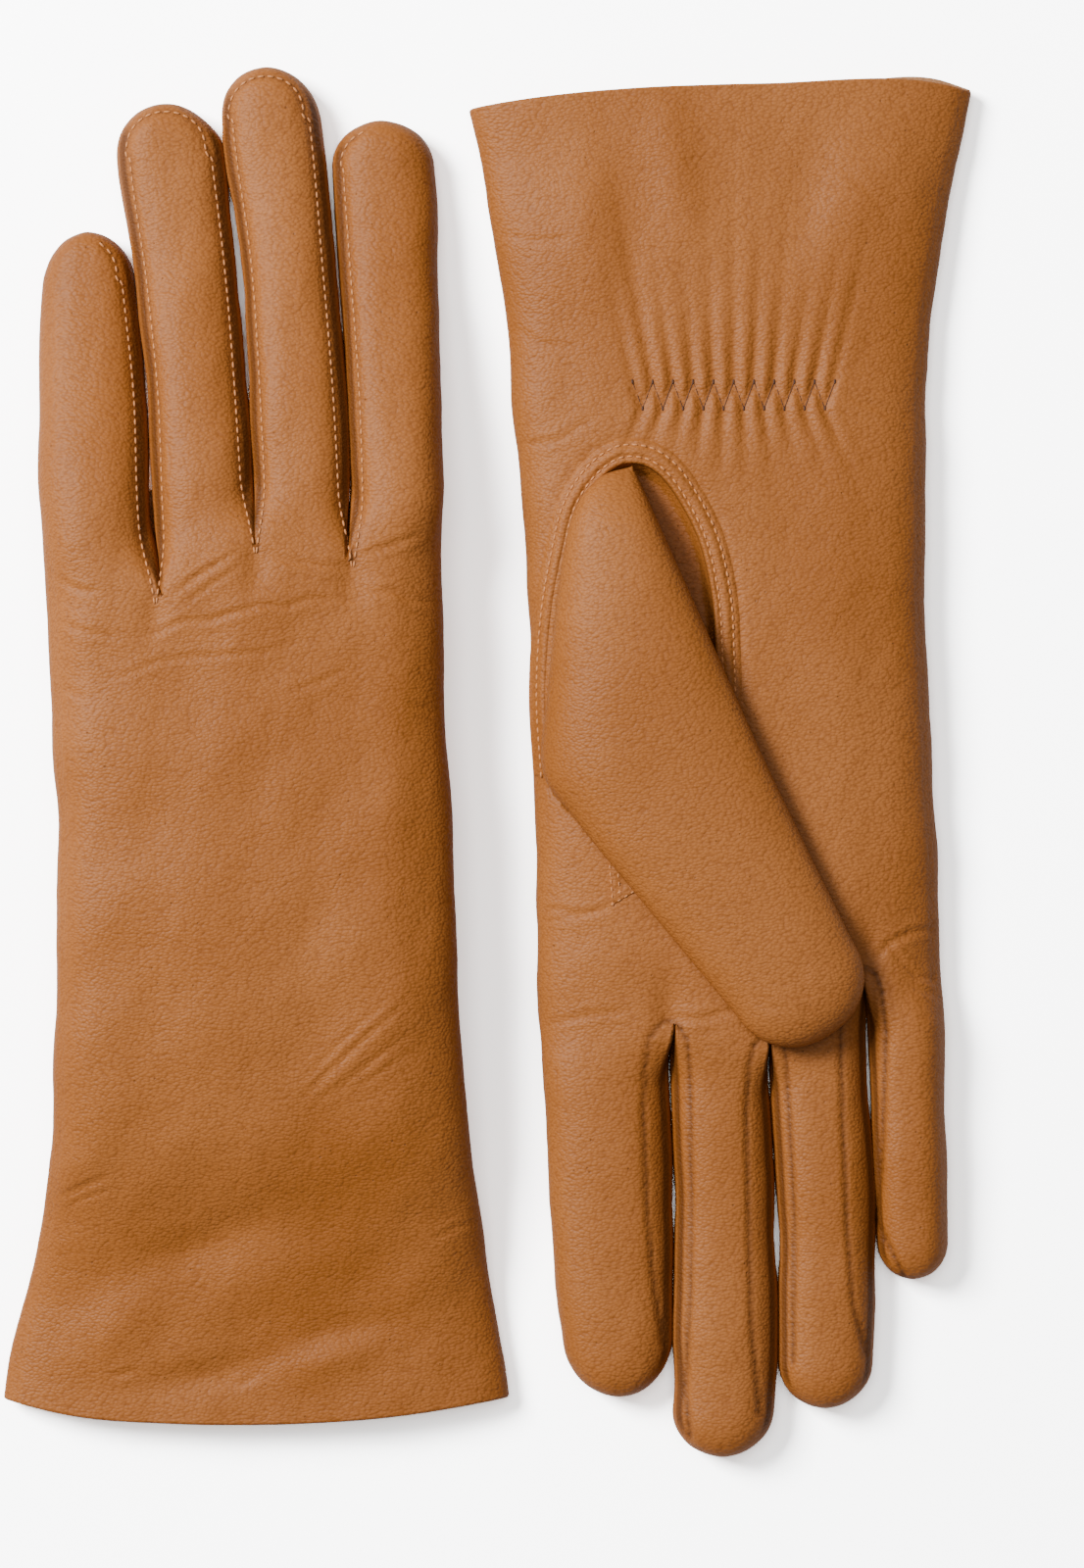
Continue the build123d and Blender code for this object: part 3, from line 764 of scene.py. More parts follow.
def gathers(points):
    """Leather puffed up between the zigzag's legs, with flutes that fan out from its points."""
    u, v = points.T
    out = np.zeros(len(points))
    near = (np.abs(v - 60) < 48) & (np.abs(u) < 34)
    pitch = (GATHER["start"] - GATHER["end"]) / GATHER["teeth"]
    middle = (GATHER["start"] + GATHER["end"]) / 2
    u, v = u[near], v[near]
    above, below = GATHER["top"] - v, v - GATHER["bottom"]
    away = np.maximum(np.maximum(above, below), 0)
    x = (u - middle) / (1 + np.where(above > 0, 0.011, 0.022) * away)
    inside = 1 - ease(18.0, 23.5, np.abs(x))
    turn = (GATHER["start"] - middle - x) / pitch + np.where(above > 0, 0.0, 0.5)
    flute = 0.5 - 0.5 * np.cos(2 * math.pi * turn)
    flute = flute ** (0.75 - 0.012 * away)
    reach = np.where(above > 0, 15.0, 6.5) * (1 + 0.3 * np.sin(5.1 * np.floor(turn) + 1.0))
    fade = np.exp(-((away / reach) ** 1.25))
    legs, _, _ = along(np.c_[u, v], zigzag())
    puff = np.where(away > 0, flute, 1 - np.exp(-((legs / 0.95) ** 2)))
    height = 0.95 * fade * (puff - 0.55)
    pull = -0.35 * np.exp(-((away / 6.0) ** 2)) * inside
    out[near] = inside * height + pull
    return out


RING = [  # the outer row of stitches round the thumb's hole
    (36.9, 137.5), (37.8, 121.4), (36.9, 105.0), (34.6, 91.4), (32.4, 82.6), (28.3, 75.8), (23.3, 71.6),
    (18.7, 70.4), (13.3, 71.6), (8.3, 75.8), (3.3, 83.8), (0.3, 91.4), (-1.7, 101.4), (-2.3, 111.4),
    (-2.3, 124.0), (0.5, 138.0), (8.0, 150.0), (18.0, 158.0),
]
DISH = 4.2  # how far the skin inside the hole's seam lies below the palm
BAND = 3.9  # from the outer row to the seam that the thumb is set in


def smooth_path(corners, step):
    """Evenly spaced points on a smooth path through the corners, and the path's direction at each."""
    corners = np.array(corners, float)
    at = np.linspace(0, len(corners) - 1, 40 * len(corners))
    fine = np.stack([curve(np.c_[np.arange(len(corners)), corners[:, i]], at) for i in range(2)], axis=1)
    run = np.concatenate([[0], np.cumsum(np.hypot(*np.diff(fine, axis=0).T))])
    even = np.linspace(0, run[-1], max(2, int(run[-1] / step) + 1))
    path = np.stack([np.interp(even, run, fine[:, i]) for i in range(2)], axis=1)
    d = np.gradient(path, axis=0)
    return path, d / np.hypot(*d.T)[:, None]


RING_PATH = smooth_path(RING, 2.5)[0]


def inside_ring(points):
    """How far each point lies inside the outer row round the thumb's hole; below 0 outside it."""
    away, _, _ = along(points, RING_PATH)
    closed = np.vstack([RING_PATH, RING_PATH[:1]])
    x, y = points.T
    inside = np.zeros(len(points), bool)
    for (x0, y0), (x1, y1) in zip(closed[:-1], closed[1:]):
        crosses = (y0 > y) != (y1 > y)
        at = x0 + (y - y0) * (x1 - x0) / (y1 - y0 if y1 != y0 else 1.0)
        inside ^= crosses & (x < at)
    inside &= (y > 69) & (y < 160)
    return np.where(inside, away, -away)


PALM_SEAMS = [  # where the right glove's fourchettes are sewn to the palm side, round each fork
    [(11.9, 253.6), (14.1, 240.0), (15.5, 222.8), (16.1, 207.2), (15.6, 196.0), (14.8, 191.0),
     (12.8, 188.2), (10.8, 187.6), (8.8, 188.6), (7.2, 191.4), (6.6, 197.0), (6.3, 221.4), (6.5, 242.8),
     (7.5, 262.8), (6.5, 272.8)],
    [(-7.7, 267.8), (-5.9, 250.0), (-5.5, 228.6), (-4.9, 207.2), (-5.5, 196.5), (-6.4, 192.6),
     (-8.0, 190.8), (-9.7, 190.4), (-11.4, 191.2), (-12.7, 193.4), (-13.2, 198.0), (-13.7, 207.2),
     (-14.7, 228.6), (-14.5, 257.2)],
    [(-29.5, 255.6), (-26.7, 245.6), (-25.3, 228.6), (-24.5, 207.2), (-24.0, 187.0), (-25.0, 180.6),
     (-27.2, 177.6), (-29.4, 176.9), (-31.2, 178.1), (-32.4, 181.2), (-33.4, 190.0), (-32.5, 217.8),
     (-31.7, 228.6), (-37.5, 240.6)],
]
PALM_SEAM_WIDTH = 0.5
STITCH_INSET, STITCH_LEAD = 2.3, 15.0


def back_lines(glove):
    """The lines of prick stitches along the backs of the fingers, from fork to fork."""
    spec = SPEC[glove]
    ends = [(u, (top if glove == "left" else bottom) - 0.6) for u, top, bottom in spec["forks"]]
    lines = []
    for k, finger in enumerate(FINGERS):
        f = spec["fingers"][finger]
        start = f["tip"] - f["round"]
        sides = []
        for which, fork in (("low", k - 1), ("high", k)):
            if not 0 <= fork < 3:
                sides.append(None)
                continue
            u0, v0 = ends[fork]
            v = np.arange(v0, start, 0.7)
            edge = curve(f[which], v) + (STITCH_INSET if which == "low" else -STITCH_INSET)
            sides.append(np.c_[u0 + (edge - u0) * ease(v0 - 4.0, v0 + STITCH_LEAD, v), v])
        low, high = curve(f["low"], f["tip"]), curve(f["high"], f["tip"])
        half = (high - low) / 2 - STITCH_INSET
        turn = np.linspace(math.pi, 0, 40)[:, None]
        over_tip = np.sin(turn) ** 0.8 * (f["round"] - STITCH_INSET)
        tip = np.array([(low + high) / 2, start]) + np.c_[np.cos(turn) * half, over_tip]
        if sides[0] is None:
            lines.append(np.vstack([tip[26:], sides[1][::-1]]))
        elif sides[1] is None:
            lines.append(np.vstack([sides[0], tip[:14]]))
        else:
            lines.append(np.vstack([sides[0], tip, sides[1][::-1]]))
    return lines


def near_lines(points, lines, width):
    """1 on the lines, falling to 0 a little way off them, with puckers along them."""
    out = np.zeros(len(points))
    for path in lines:
        low, high = np.min(path, axis=0) - 4 * width, np.max(path, axis=0) + 4 * width
        near = ((points > low) & (points < high)).all(axis=1)
        away, where, _ = along(points[near], path)
        sewn = np.exp(-((away / width) ** 2)) * (0.8 + 0.2 * np.sin(where * 3.1))
        out[near] = np.maximum(out[near], sewn)
    return out


SEED = {"left": 3, "right": 8}
WAVES, FINE_WAVES = ((34.0, 17.0), 0.75), ((7.0, 4.0), 0.10)  # their lengths, and how high they stand
SIDE_SEAM, SEAM_DEEP, SEAM_WIDTH = 1.7, 0.22, 0.45  # the little finger's side: how far in, deep and wide
FORK_SIZE, FORK_DEEP = (3.0, 6.0), 0.9  # the dip where two fingers part


def relief(glove, points, up):
    """How far the leather stands out of its smooth shape, over and under, in millimetres."""
    plan = points[:, :2]
    over, under = np.clip(up * 2.0, 0, 1), np.clip(-up * 2.0, 0, 1)
    back, palm = (over, under) if glove == "left" else (under, over)
    out = ripples(plan, SEED[glove], *WAVES) + ripples(plan, SEED[glove] + 1, *FINE_WAVES)
    if glove == "right":
        out = out * (1 - 0.6 * over) + over * 0.45 * out
    for path, depth, width in CREASES[glove]:
        out += over * crease(plan, path, depth * 1.25, width)
    for middle, size, turn, amount in SWELLS[glove]:
        out += over * swell(plan, middle, size, turn, amount)
    out += palm * gathers(plan)
    sunk = inside_ring(plan)
    out -= palm * (DISH * ease(BAND - 0.6, BAND + 1.2, sunk) + 0.35 * np.exp(-(((sunk + 1.2) / 1.2) ** 2)))
    from_seam = plan[:, 0] - (curve(SPEC[glove]["low"], plan[:, 1]) + SIDE_SEAM)
    out -= SEAM_DEEP * (up > 0.2) * np.exp(-((from_seam / SEAM_WIDTH) ** 2)) * (plan[:, 1] < 180)
    out -= 0.24 * back * near_lines(plan, [line[::3] for line in back_lines(glove)], 0.55)
    if glove == "right":
        out -= 0.42 * over * near_lines(plan, PALM_SEAMS, PALM_SEAM_WIDTH)
    for u, top, bottom in SPEC[glove]["forks"]:
        out += over * swell(plan, (u, top - 3.0), FORK_SIZE, 0, -FORK_DEEP)
        out += under * swell(plan, (u, bottom - 3.0), FORK_SIZE, 0, -FORK_DEEP)
    return out


def shaped(glove):
    """The skin with its relief, its painted shade along seams and stitch lines, its bowed mouth and its normals."""
    points, faces, names = glove_skin(glove)
    n = normals(points, faces)
    points[:, :3] += n * (relief(glove, points, n[:, 2]))[:, None]
    # Painted shade along the prick-stitch lines on the backs and, on the right glove, along the palm's seams.
    back = n[:, 2] > 0.2 if glove == "left" else n[:, 2] < -0.2
    lines = [line[::3] for line in back_lines(glove)]
    points[:, 3] = np.maximum(points[:, 3], 0.5 * back * near_lines(points[:, :2], lines, 0.5))
    if glove == "right":
        palm_seam_shade = near_lines(points[:, :2], PALM_SEAMS, PALM_SEAM_WIDTH)
        points[:, 3] = np.maximum(points[:, 3], ~back * palm_seam_shade)
    top_mouth, bottom_mouth = MOUTH[glove]
    share = ease(-0.4, 0.4, n[:, 2])
    bow = curve(bottom_mouth, points[:, 0]) * (1 - share) + curve(top_mouth, points[:, 0]) * share
    points[:, 1] += bow * (1 - ease(0.0, 45.0, points[:, 1]))
    points[:, 2] = np.maximum(points[:, 2], 0.05)
    return points, faces, names, normals(points, faces)


def piece(name, glove, points, faces, point_normals=None):
    """A mesh object from points in a glove's frame, with normals where it goes on into another piece."""
    mesh = bpy.data.meshes.new(name)
    used, back = np.unique(faces, return_inverse=True)
    back = back.reshape(faces.shape)
    mesh.from_pydata(to_world(glove, points[used, :3]).tolist(), [],
                     [list(dict.fromkeys(f)) for f in back.tolist()])
    mesh.validate()
    mesh.shade_smooth()
    if point_normals is not None:
        turn = PLACE[glove][2]
        n = point_normals[used] * [turn, turn, 1]
        mesh.normals_split_custom_set_from_vertices(n.tolist())
    # The fourth column, painted shade along the seams, goes into a point attribute that the leather reads.
    if points.shape[1] > 3:
        seam_shade = mesh.attributes.new("seam_shade", "FLOAT", "POINT")
        seam_shade.data.foreach_set("value", points[used, 3].astype(np.float32))
    obj = bpy.data.objects.new(name, mesh)
    bpy.context.scene.collection.objects.link(obj)
    return obj


def finger_root(glove, finger):
    """Where a finger's leather starts to bend, and where it has bent: two points in the pair's frame."""
    u, v, slant = finger_cut(SPEC[glove], finger)
    ends = to_world(glove, np.array([[u, v + 0.6, 6.0], [u - TURN * slant, v + TURN, 6.0]]))
    return dict(start=tuple(ends[0]), end=tuple(ends[1]))


SKIN = {glove: shaped(glove) for glove in SPEC}
for glove, (points, faces, names, point_normals) in SKIN.items():
    for name in sorted(set(names)):
        own = f"{glove}_{name}" if "fourchette" in name else f"{glove}_{name}_leather"
        part = piece(own, glove, points, faces[names == name], point_normals)
        part.data.materials.append(LEATHER)
        finger = name.split("_")[0]
        if finger == "hand":
            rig.ride(part, glove + "_hand")
        else:
            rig.blend(part, glove + "_hand", f"{glove}_{finger}", **finger_root(glove, finger))
        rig.slot(part, "leather")
        if name in FINGERS:
            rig.replaces(part, f"{glove}_{name}_finger")
        elif not name.startswith("hand_"):
            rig.replaces(part, f"{glove}_{name}")


# The cuff hems and the linings.
# At the mouth the leather is folded in and turned up 22 mm inside; from there a knitted lining, cut like the
# glove, runs on through the hand and into each finger.
HEM_GAP, HEM_ROLL, HEM_DEEP = 1.2, 0.6, 22.0
LINING_GAP, LINING_FROM, FORK_CLEAR = 1.9, 19.5, 5.0
SUEDE = leather("leather_reverse", light=(0.40, 0.20, 0.095), dark=(0.31, 0.145, 0.062),
                deep=(0.20, 0.085, 0.034), roughness=0.78, bump=0.0002)
KNIT, tree, shader = new_material("brown_knit")
place = node(tree, "ShaderNodeTexCoord").outputs["Object"]
loops = node(tree, "ShaderNodeTexWave", {"Vector": place}, Scale=420.0, Distortion=1.5).outputs["Fac"]
brown = mix_colour(tree, loops, (0.085, 0.036, 0.016, 1), (0.15, 0.07, 0.035, 1))
ribs = node(tree, "ShaderNodeBump", {"Height": loops}, Strength=0.4, Distance=0.0002)
tree.links.new(brown, shader.inputs["Base Color"])
tree.links.new(ribs.outputs[0], shader.inputs["Normal"])
shader.inputs["Roughness"].default_value = 0.9


def sew_hem(glove):
    """The leather at the cuff's mouth, rolled in and turned up inside."""
    points, faces, _, n = SKIN[glove]
    p = points[:, :3]
    columns = 2 * (4 * COLUMNS + 1) + 2 * (WALL - 1)
    grid = faces[: HAND_ROWS * columns, 0].reshape(HAND_ROWS, columns)
    deep = int(HEM_DEEP / ROW)
    angle = np.linspace(0, math.pi, 9)[:, None, None]
    mouth, out = p[grid[0]], n[grid[0]] * [1, 0, 1]
    out = out / np.linalg.norm(out, axis=1, keepdims=True)
    roll = mouth - HEM_ROLL * out + HEM_ROLL * (out * np.cos(angle) + np.array([0, -1, 0]) * np.sin(angle))
    wall = p[grid[1:deep]] - n[grid[1:deep]] * HEM_GAP
    skin = Skin()
    skin.grid(np.concatenate([roll, wall])[::-1], "hem", loop=True)
    hem = piece(glove + "_cuff_hem_leather", glove, *skin.welded()[:2])
    hem.data.materials.append(SUEDE)
    hem.data.materials.append(LEATHER)
    for polygon in hem.data.polygons:
        polygon.material_index = int(polygon.index >= (len(wall) - 1 + 5) * columns)
    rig.ride(hem, glove + "_hand")
    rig.slot(hem, "leather_inside")
    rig.replaces(hem, glove + "_cuff_hem")


def sew_linings(glove):
    """The knitted lining of the hand and of each finger, left open at the forks."""
    points, faces, names, n = SKIN[glove]
    p = points[:, :3]
    inner = p - n * LINING_GAP
    middles = p[faces].mean(axis=1)
    open_fork = np.zeros(len(faces), bool)
    for u, top_end, bottom_end in SPEC[glove]["forks"]:
        for v in (top_end, bottom_end):
            open_fork |= np.hypot(middles[:, 0] - u, middles[:, 1] - v) < FORK_CLEAR
    for owner in ("hand",) + FINGERS:
        own = np.array([x.split("_")[0] == owner for x in names]) & ~open_fork
        own &= p[faces].min(axis=1)[:, 1] > LINING_FROM
        lining = piece(f"{glove}_{owner}_knit", glove, inner, faces[own][:, ::-1])
        lining.data.materials.append(KNIT)
        if owner == "hand":
            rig.ride(lining, glove + "_hand")
        else:
            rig.blend(lining, glove + "_hand", f"{glove}_{owner}", **finger_root(glove, owner))
        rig.slot(lining, "lining")
        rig.replaces(lining, f"{glove}_{owner}_lining")


for glove in SKIN:
    sew_hem(glove)
    sew_linings(glove)


# The thumbs.
# Each thumb is a bag of the same leather, set into the oval hole in the palm and folded over the palm, with
# its outer edge a straight fold. The left one lies under its glove, the right one on top.
THUMB_OUTER = [(18.5, 74.8), (24.5, 76.8), (29.2, 82.0), (32.0, 91.0), (34.1, 106.5), (35.6, 121.0),
               (36.6, 136.5), (30.0, 146.6), (13.5, 166.8), (-3.2, 187.0)]
THUMB_INNER = [(18.2, 74.8), (16.4, 78.8), (13.7, 85.0), (10.8, 91.6), (6.2, 101.8), (1.8, 111.8),
               (-3.0, 122.6), (-8.6, 135.0), (-17.5, 153.5), (-26.6, 171.8)]
THUMB_THICK = [(0.0, 1.6), (0.12, 4.2), (0.3, 7.4), (0.5, 8.8), (0.8, 8.6), (1.0, 8.0)]
THUMB_TIP = 13.0
THUMB_SEWN, THUMB_FREE = (22.0, 76.0, 10.0), (8.0, 132.0, 10.0)  # it stays in the hole, then turns
THUMB_ACROSS, THUMB_ROUND = 40, 14
THUMB_CREASES = [
    ([(-15.7, 171.4), (-16.3, 178.0), (-16.9, 189.0)], 0.22, 0.7),
    ([(-4.0, 181.0), (-9.0, 184.5), (-13.0, 185.0)], 0.14, 0.8),
    ([(10.0, 161.0), (4.0, 163.5), (0.0, 163.0)], 0.12, 0.8),
]


PALM_FACES = {"left": -1.0, "right": 1.0}  # down or up


def palm_height(glove, u, v, lie):
    """The height of the palm's surface, without its relief, at places in plan."""
    spec = SPEC[glove]
    low, high = curve(spec["low"], v), curve(spec["high"], v)
    share = np.clip((u - (low + high) / 2) / ((high - low) / 2), -0.99, 0.99)
    return hand_section(spec, v, share / HAND_SEAM, np.full(np.shape(u), float(lie)))[1]


def surface(glove, points, above=0.0):
    """Points in plan put on the palm's surface, relief included, and above it."""
    lie = PALM_FACES[glove]
    u, v = points.T
    stands = relief(glove, np.c_[points, u * 0], np.full(len(u), lie))
    z = palm_height(glove, u, v, lie) + lie * (stands + above)
    return np.c_[points, z]


def thumb_skin(glove):
    """The thumb as a closed bag: oval sections from its crotch to its round tip."""
    steps = np.arange(len(THUMB_OUTER))
    t = np.linspace(0, 1, 150) ** 1.15
    at = t * (len(THUMB_OUTER) - 1)
    outer = np.stack([curve(np.c_[steps, np.array(THUMB_OUTER)[:, i]], at) for i in range(2)], axis=1)
    inner = np.stack([curve(np.c_[steps, np.array(THUMB_INNER)[:, i]], at) for i in range(2)], axis=1)
    thick = curve(THUMB_THICK, t)
    middle, reach = (outer + inner) / 2, (outer - inner) / 2
    way = np.array([reach[-1][1] * -1, reach[-1][0]])
    way = way / np.hypot(*way)
    turn = np.linspace(0, math.pi / 2, 34)[1:]
    tip_middle = middle[-1] + np.outer(np.sin(turn) * THUMB_TIP, way)
    tip_reach = np.outer(np.maximum(np.cos(turn), 1e-3) ** 0.92, reach[-1])
    tip_thick = thick[-1] * np.maximum(np.cos(turn), 1e-3) ** 0.62
    middle, reach = np.vstack([middle, tip_middle]), np.vstack([reach, tip_reach])
    thick = np.concatenate([thick, tip_thick])
    angle = np.linspace(0, 2 * math.pi, 2 * (THUMB_ACROSS + THUMB_ROUND), endpoint=False)
    flat = 2.7
    c, s = np.cos(angle), np.sin(angle)
    across = np.sign(c) * np.abs(c) ** (2 / flat)
    rise = np.sign(s) * np.abs(s) ** (2 / 2.2)
    plan = middle[:, None, :] + across[None, :, None] * reach[:, None, :]
    lower, upper = 0.34 * thick, 0.66 * thick
    rise = rise[None, :]
    z = np.where(rise > 0, rise * upper[:, None], rise * lower[:, None]) + lower[:, None]
    flat_plan = plan.reshape(-1, 2)
    z = z + 0.5 * ripples(flat_plan, 21, (30.0, 15.0), 1.0).reshape(z.shape) * (rise > 0) * 0.6
    for path, depth, width in THUMB_CREASES:
        z += (crease(flat_plan, path, depth, width) * 1.2).reshape(z.shape) * (rise > 0.2)
    if glove == "right":
        base = palm_height(glove, flat_plan[:, 0], flat_plan[:, 1], 1.0).reshape(z.shape)
        hang = ease(0.0, 0.3, np.concatenate([t, np.ones(len(turn))]))[:, None]
        z = base + 0.45 - 2.2 * (1 - hang) + z
    else:
        z = 0.15 + np.minimum(z, 9.2)
    skin = Skin()
    grid = np.concatenate([plan, z[..., None], np.zeros_like(z)[..., None]], axis=-1)
    skin.grid(grid[:, ::-1], "thumb", loop=True)
    return skin.welded()


for glove in ("left", "right"):
    points, faces, names = thumb_skin(glove)
    thumb = piece(glove + "_thumb_leather", glove, points, faces)
    thumb.data.materials.append(LEATHER)
    bm = bmesh.new()
    bm.from_mesh(thumb.data)
    bmesh.ops.holes_fill(bm, edges=[e for e in bm.edges if e.is_boundary], sides=0)
    bmesh.ops.recalc_face_normals(bm, faces=bm.faces)
    for face in bm.faces:
        face.smooth = True
    bm.to_mesh(thumb.data)
    bm.free()
    ends = to_world(glove, np.array([THUMB_SEWN, THUMB_FREE]))
    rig.blend(thumb, glove + "_hand", glove + "_thumb", start=tuple(ends[0]), end=tuple(ends[1]))
    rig.slot(thumb, "leather")
    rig.replaces(thumb, glove + "_thumb", glove + "_thumb_lining")


# The band round the thumb's hole.
# The palm's edge is turned over a facing and sewn down with two rows of stitches; the thumb is set in
# along its inner edge.
BAND_PROFILE = [(-1.6, -0.25), (-1.0, 0.10), (-0.45, 0.20), (-0.15, 0.02), (0.15, 0.02), (0.5, 0.30),
                (1.2, 0.42), (1.9, 0.32), (2.25, 0.06), (2.55, 0.06), (2.9, 0.34), (3.35, 0.36),
                (3.7, 0.10), (3.9, -0.7), (4.0, -2.0), (4.1, -3.6)]


def beside(path, way, offset):
    """A path moved sideways towards the inside of the hole."""
    return path + offset * np.c_[-way[:, 1], way[:, 0]]


fine_path, fine_way = smooth_path(RING, 0.6)
inward = 1.0 if inside_ring(beside(fine_path, fine_way, 2.0)[60:61])[0] > 0 else -1.0
ring_rows = {}
for glove in ("left", "right"):
    columns = []
    lie = PALM_FACES[glove]
    for offset, height in BAND_PROFILE:
        plan = beside(fine_path, fine_way, inward * offset)
        held = surface(glove, beside(fine_path, fine_way, inward * min(offset, 1.2)), 0.0)[:, 2]
        columns.append(np.c_[plan, held + lie * (height + 0.12), np.full(len(plan), 0.0)])
    grid = np.stack(columns, axis=1)
    # Painted shade on the band's inner columns, where it turns down into the dish.
    grid[:, -4:, 3] = [0.25, 0.6, 1.0, 1.0]
    skin = Skin()
    skin.grid(grid if lie * inward > 0 else grid[:, ::-1], "band")
    points, faces, names = skin.welded()
    band = piece(glove + "_thumb_band", glove, points, faces)
    band.data.materials.append(LEATHER)
    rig.ride(band, glove + "_hand")
    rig.slot(band, "leather")
    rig.replaces(band, glove + "_thumb_facing")
    for row, offset in (("outer", 0.0), ("inner", 2.4)):
        plan = beside(fine_path, fine_way, inward * offset)
        held = surface(glove, beside(fine_path, fine_way, inward * min(offset, 1.2)))[:, 2]
        ring_rows[glove, row] = np.c_[plan, held + lie * 0.20]


# The stitches.
# Tone-on-tone sewing thread: single prick stitches along the fingers' backs, two rows round the thumb's hole
# and a stitched triangle below it. The zigzag that holds the elastic, with a bead at each corner, is near-black:
# painted shade in the grooves and pinches of the gathered leather.


def sewing_thread(name, light, dark):
    """A twisted thread in two tones."""
    material, tree, shader = new_material(name)
    place = node(tree, "ShaderNodeTexCoord").outputs["Object"]
    twist = node(tree, "ShaderNodeTexNoise", {"Vector": place}, Scale=3500.0, Detail=1.0)
    tree.links.new(mix_colour(tree, twist.outputs[0], (*dark, 1), (*light, 1)), shader.inputs["Base Color"])
    bump = node(tree, "ShaderNodeBump", {"Height": twist.outputs[0]}, Strength=0.5, Distance=0.0001)
    tree.links.new(bump.outputs[0], shader.inputs["Normal"])
    shader.inputs["Roughness"].default_value = 0.62
    return material


THREAD = sewing_thread("thread", light=(0.66, 0.28, 0.10), dark=(0.36, 0.12, 0.028))
# Near-black thread: painted shade in the grooves and pinches of the gathered leather.
PAINTED_SHADE_THREAD = sewing_thread("painted_shade_thread", light=(0.075, 0.020, 0.004), dark=(0.035, 0.010, 0.002))


def stitch_tree():
    """Geometry nodes that set rounded stitches end to end along a line."""
    tree = bpy.data.node_groups.new("row of stitches", "GeometryNodeTree")
    face = tree.interface
    face.new_socket("Line", in_out="INPUT", socket_type="NodeSocketGeometry")
    for name, value in (("Pitch", 0.0018), ("Length", 0.0013), ("Thickness", 0.0004)):
        face.new_socket(name, in_out="INPUT", socket_type="NodeSocketFloat").default_value = value
    face.new_socket("Thread", in_out="INPUT", socket_type="NodeSocketMaterial")
    face.new_socket("Stitches", in_out="OUTPUT", socket_type="NodeSocketGeometry")
    inside, outside = tree.nodes.new("NodeGroupInput"), tree.nodes.new("NodeGroupOutput")
    line = node(tree, "GeometryNodeMeshToCurve", {"Mesh": inside.outputs["Line"]})
    spaced = node(tree, "GeometryNodeResampleCurve",
                  {"Curve": line.outputs[0], "Length": inside.outputs["Pitch"]}, mode="LENGTH")
    tangent = tree.nodes.new("GeometryNodeInputTangent")
    turn = node(tree, "FunctionNodeAlignRotationToVector", {"Vector": tangent.outputs[0]}, axis="X")
    bead = node(tree, "GeometryNodeMeshUVSphere")
    bead.inputs["Segments"].default_value, bead.inputs["Rings"].default_value = 7, 5
    bead.inputs["Radius"].default_value = 0.5
    thick = inside.outputs["Thickness"]
    size = node(tree, "ShaderNodeCombineXYZ", {"X": inside.outputs["Length"], "Y": thick, "Z": thick})
    placed = node(tree, "GeometryNodeInstanceOnPoints",
                  {"Points": spaced.outputs[0], "Instance": bead.outputs[0], "Rotation": turn.outputs[0],
                   "Scale": size.outputs[0]})
    real = node(tree, "GeometryNodeRealizeInstances", {"Geometry": placed.outputs[0]})
    smooth = node(tree, "GeometryNodeSetShadeSmooth", {0: real.outputs[0]})
    painted = node(tree, "GeometryNodeSetMaterial",
                   {"Geometry": smooth.outputs[0], "Material": inside.outputs["Thread"]})
    tree.links.new(painted.outputs[0], outside.inputs["Stitches"])
    return tree


STITCHES = stitch_tree()


def stitched(name, glove, lines, pitch, length, thickness, thread):
    """Stitches along one or more lines in a glove's frame, as a plain mesh."""
    mesh = bpy.data.meshes.new(name + "_line")
    points, edges = [], []
    for line in lines:
        start = len(points)
        points += to_world(glove, np.array(line, float)[:, :3]).tolist()
        edges += [(start + i, start + i + 1) for i in range(len(line) - 1)]
    mesh.from_pydata(points, edges, [])
    source = bpy.data.objects.new(name + "_line", mesh)
    bpy.context.scene.collection.objects.link(source)
    modifier = source.modifiers.new("stitches", "NODES")
    modifier.node_group = STITCHES
    sockets = {s.name: s.identifier for s in STITCHES.interface.items_tree if s.in_out == "INPUT"}
    for key, value in (("Pitch", pitch * MM), ("Length", length * MM), ("Thickness", thickness * MM),
                       ("Thread", thread)):
        modifier[sockets[key]] = value
    bpy.context.view_layer.update()
    evaluated = source.evaluated_get(bpy.context.evaluated_depsgraph_get())
    made = bpy.data.objects.new(name, bpy.data.meshes.new_from_object(evaluated))
    bpy.context.scene.collection.objects.link(made)
    bpy.data.objects.remove(source)
    return made


QUIRK = [(23.0, 154.8), (22.3, 163.8), (16.9, 160.6)]
QUIRK_INNER = [(21.3, 156.4), (20.9, 161.4), (18.5, 160.4)]


def leg(a, b, count):
    """Points on the straight line from one corner to the next."""
    return np.array(a) + np.linspace(0, 1, count)[:, None] * (np.array(b) - np.array(a))


for glove in ("left", "right"):
    corners = zigzag()
    legs = [surface(glove, leg(a, b, 9), 0.04) for a, b in zip(corners[:-1], corners[1:])]
    # A dark bead at each corner of the zigzag: painted shade where the leather is pinched.
    pinch_shade_beads = [surface(glove, np.array([c, c]) + [(0, -0.2), (0, 0.2)], 0.06) for c in corners]
    quirks = []
    for path in (QUIRK, QUIRK_INNER):
        quirks += [surface(glove, leg(a, b, 8), 0.12) for a, b in zip(path, path[1:] + path[:1])]
    for name, lines, sizes, thread in (
        ("thumb_hole_stitches", [ring_rows[glove, "outer"], ring_rows[glove, "inner"]], (1.8, 1.4, 0.50),
         THREAD),
        ("quirk_stitches", quirks, (1.5, 1.15, 0.42), THREAD),
        ("elastic_zigzag", legs, (0.5, 0.75, 0.24), PAINTED_SHADE_THREAD),
        ("elastic_pinches", pinch_shade_beads, (0.2, 0.62, 0.50), PAINTED_SHADE_THREAD),
    ):
        row = stitched(f"{glove}_{name}", glove, lines, *sizes, thread)
        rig.ride(row, glove + "_hand")
        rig.slot(row, "thread")


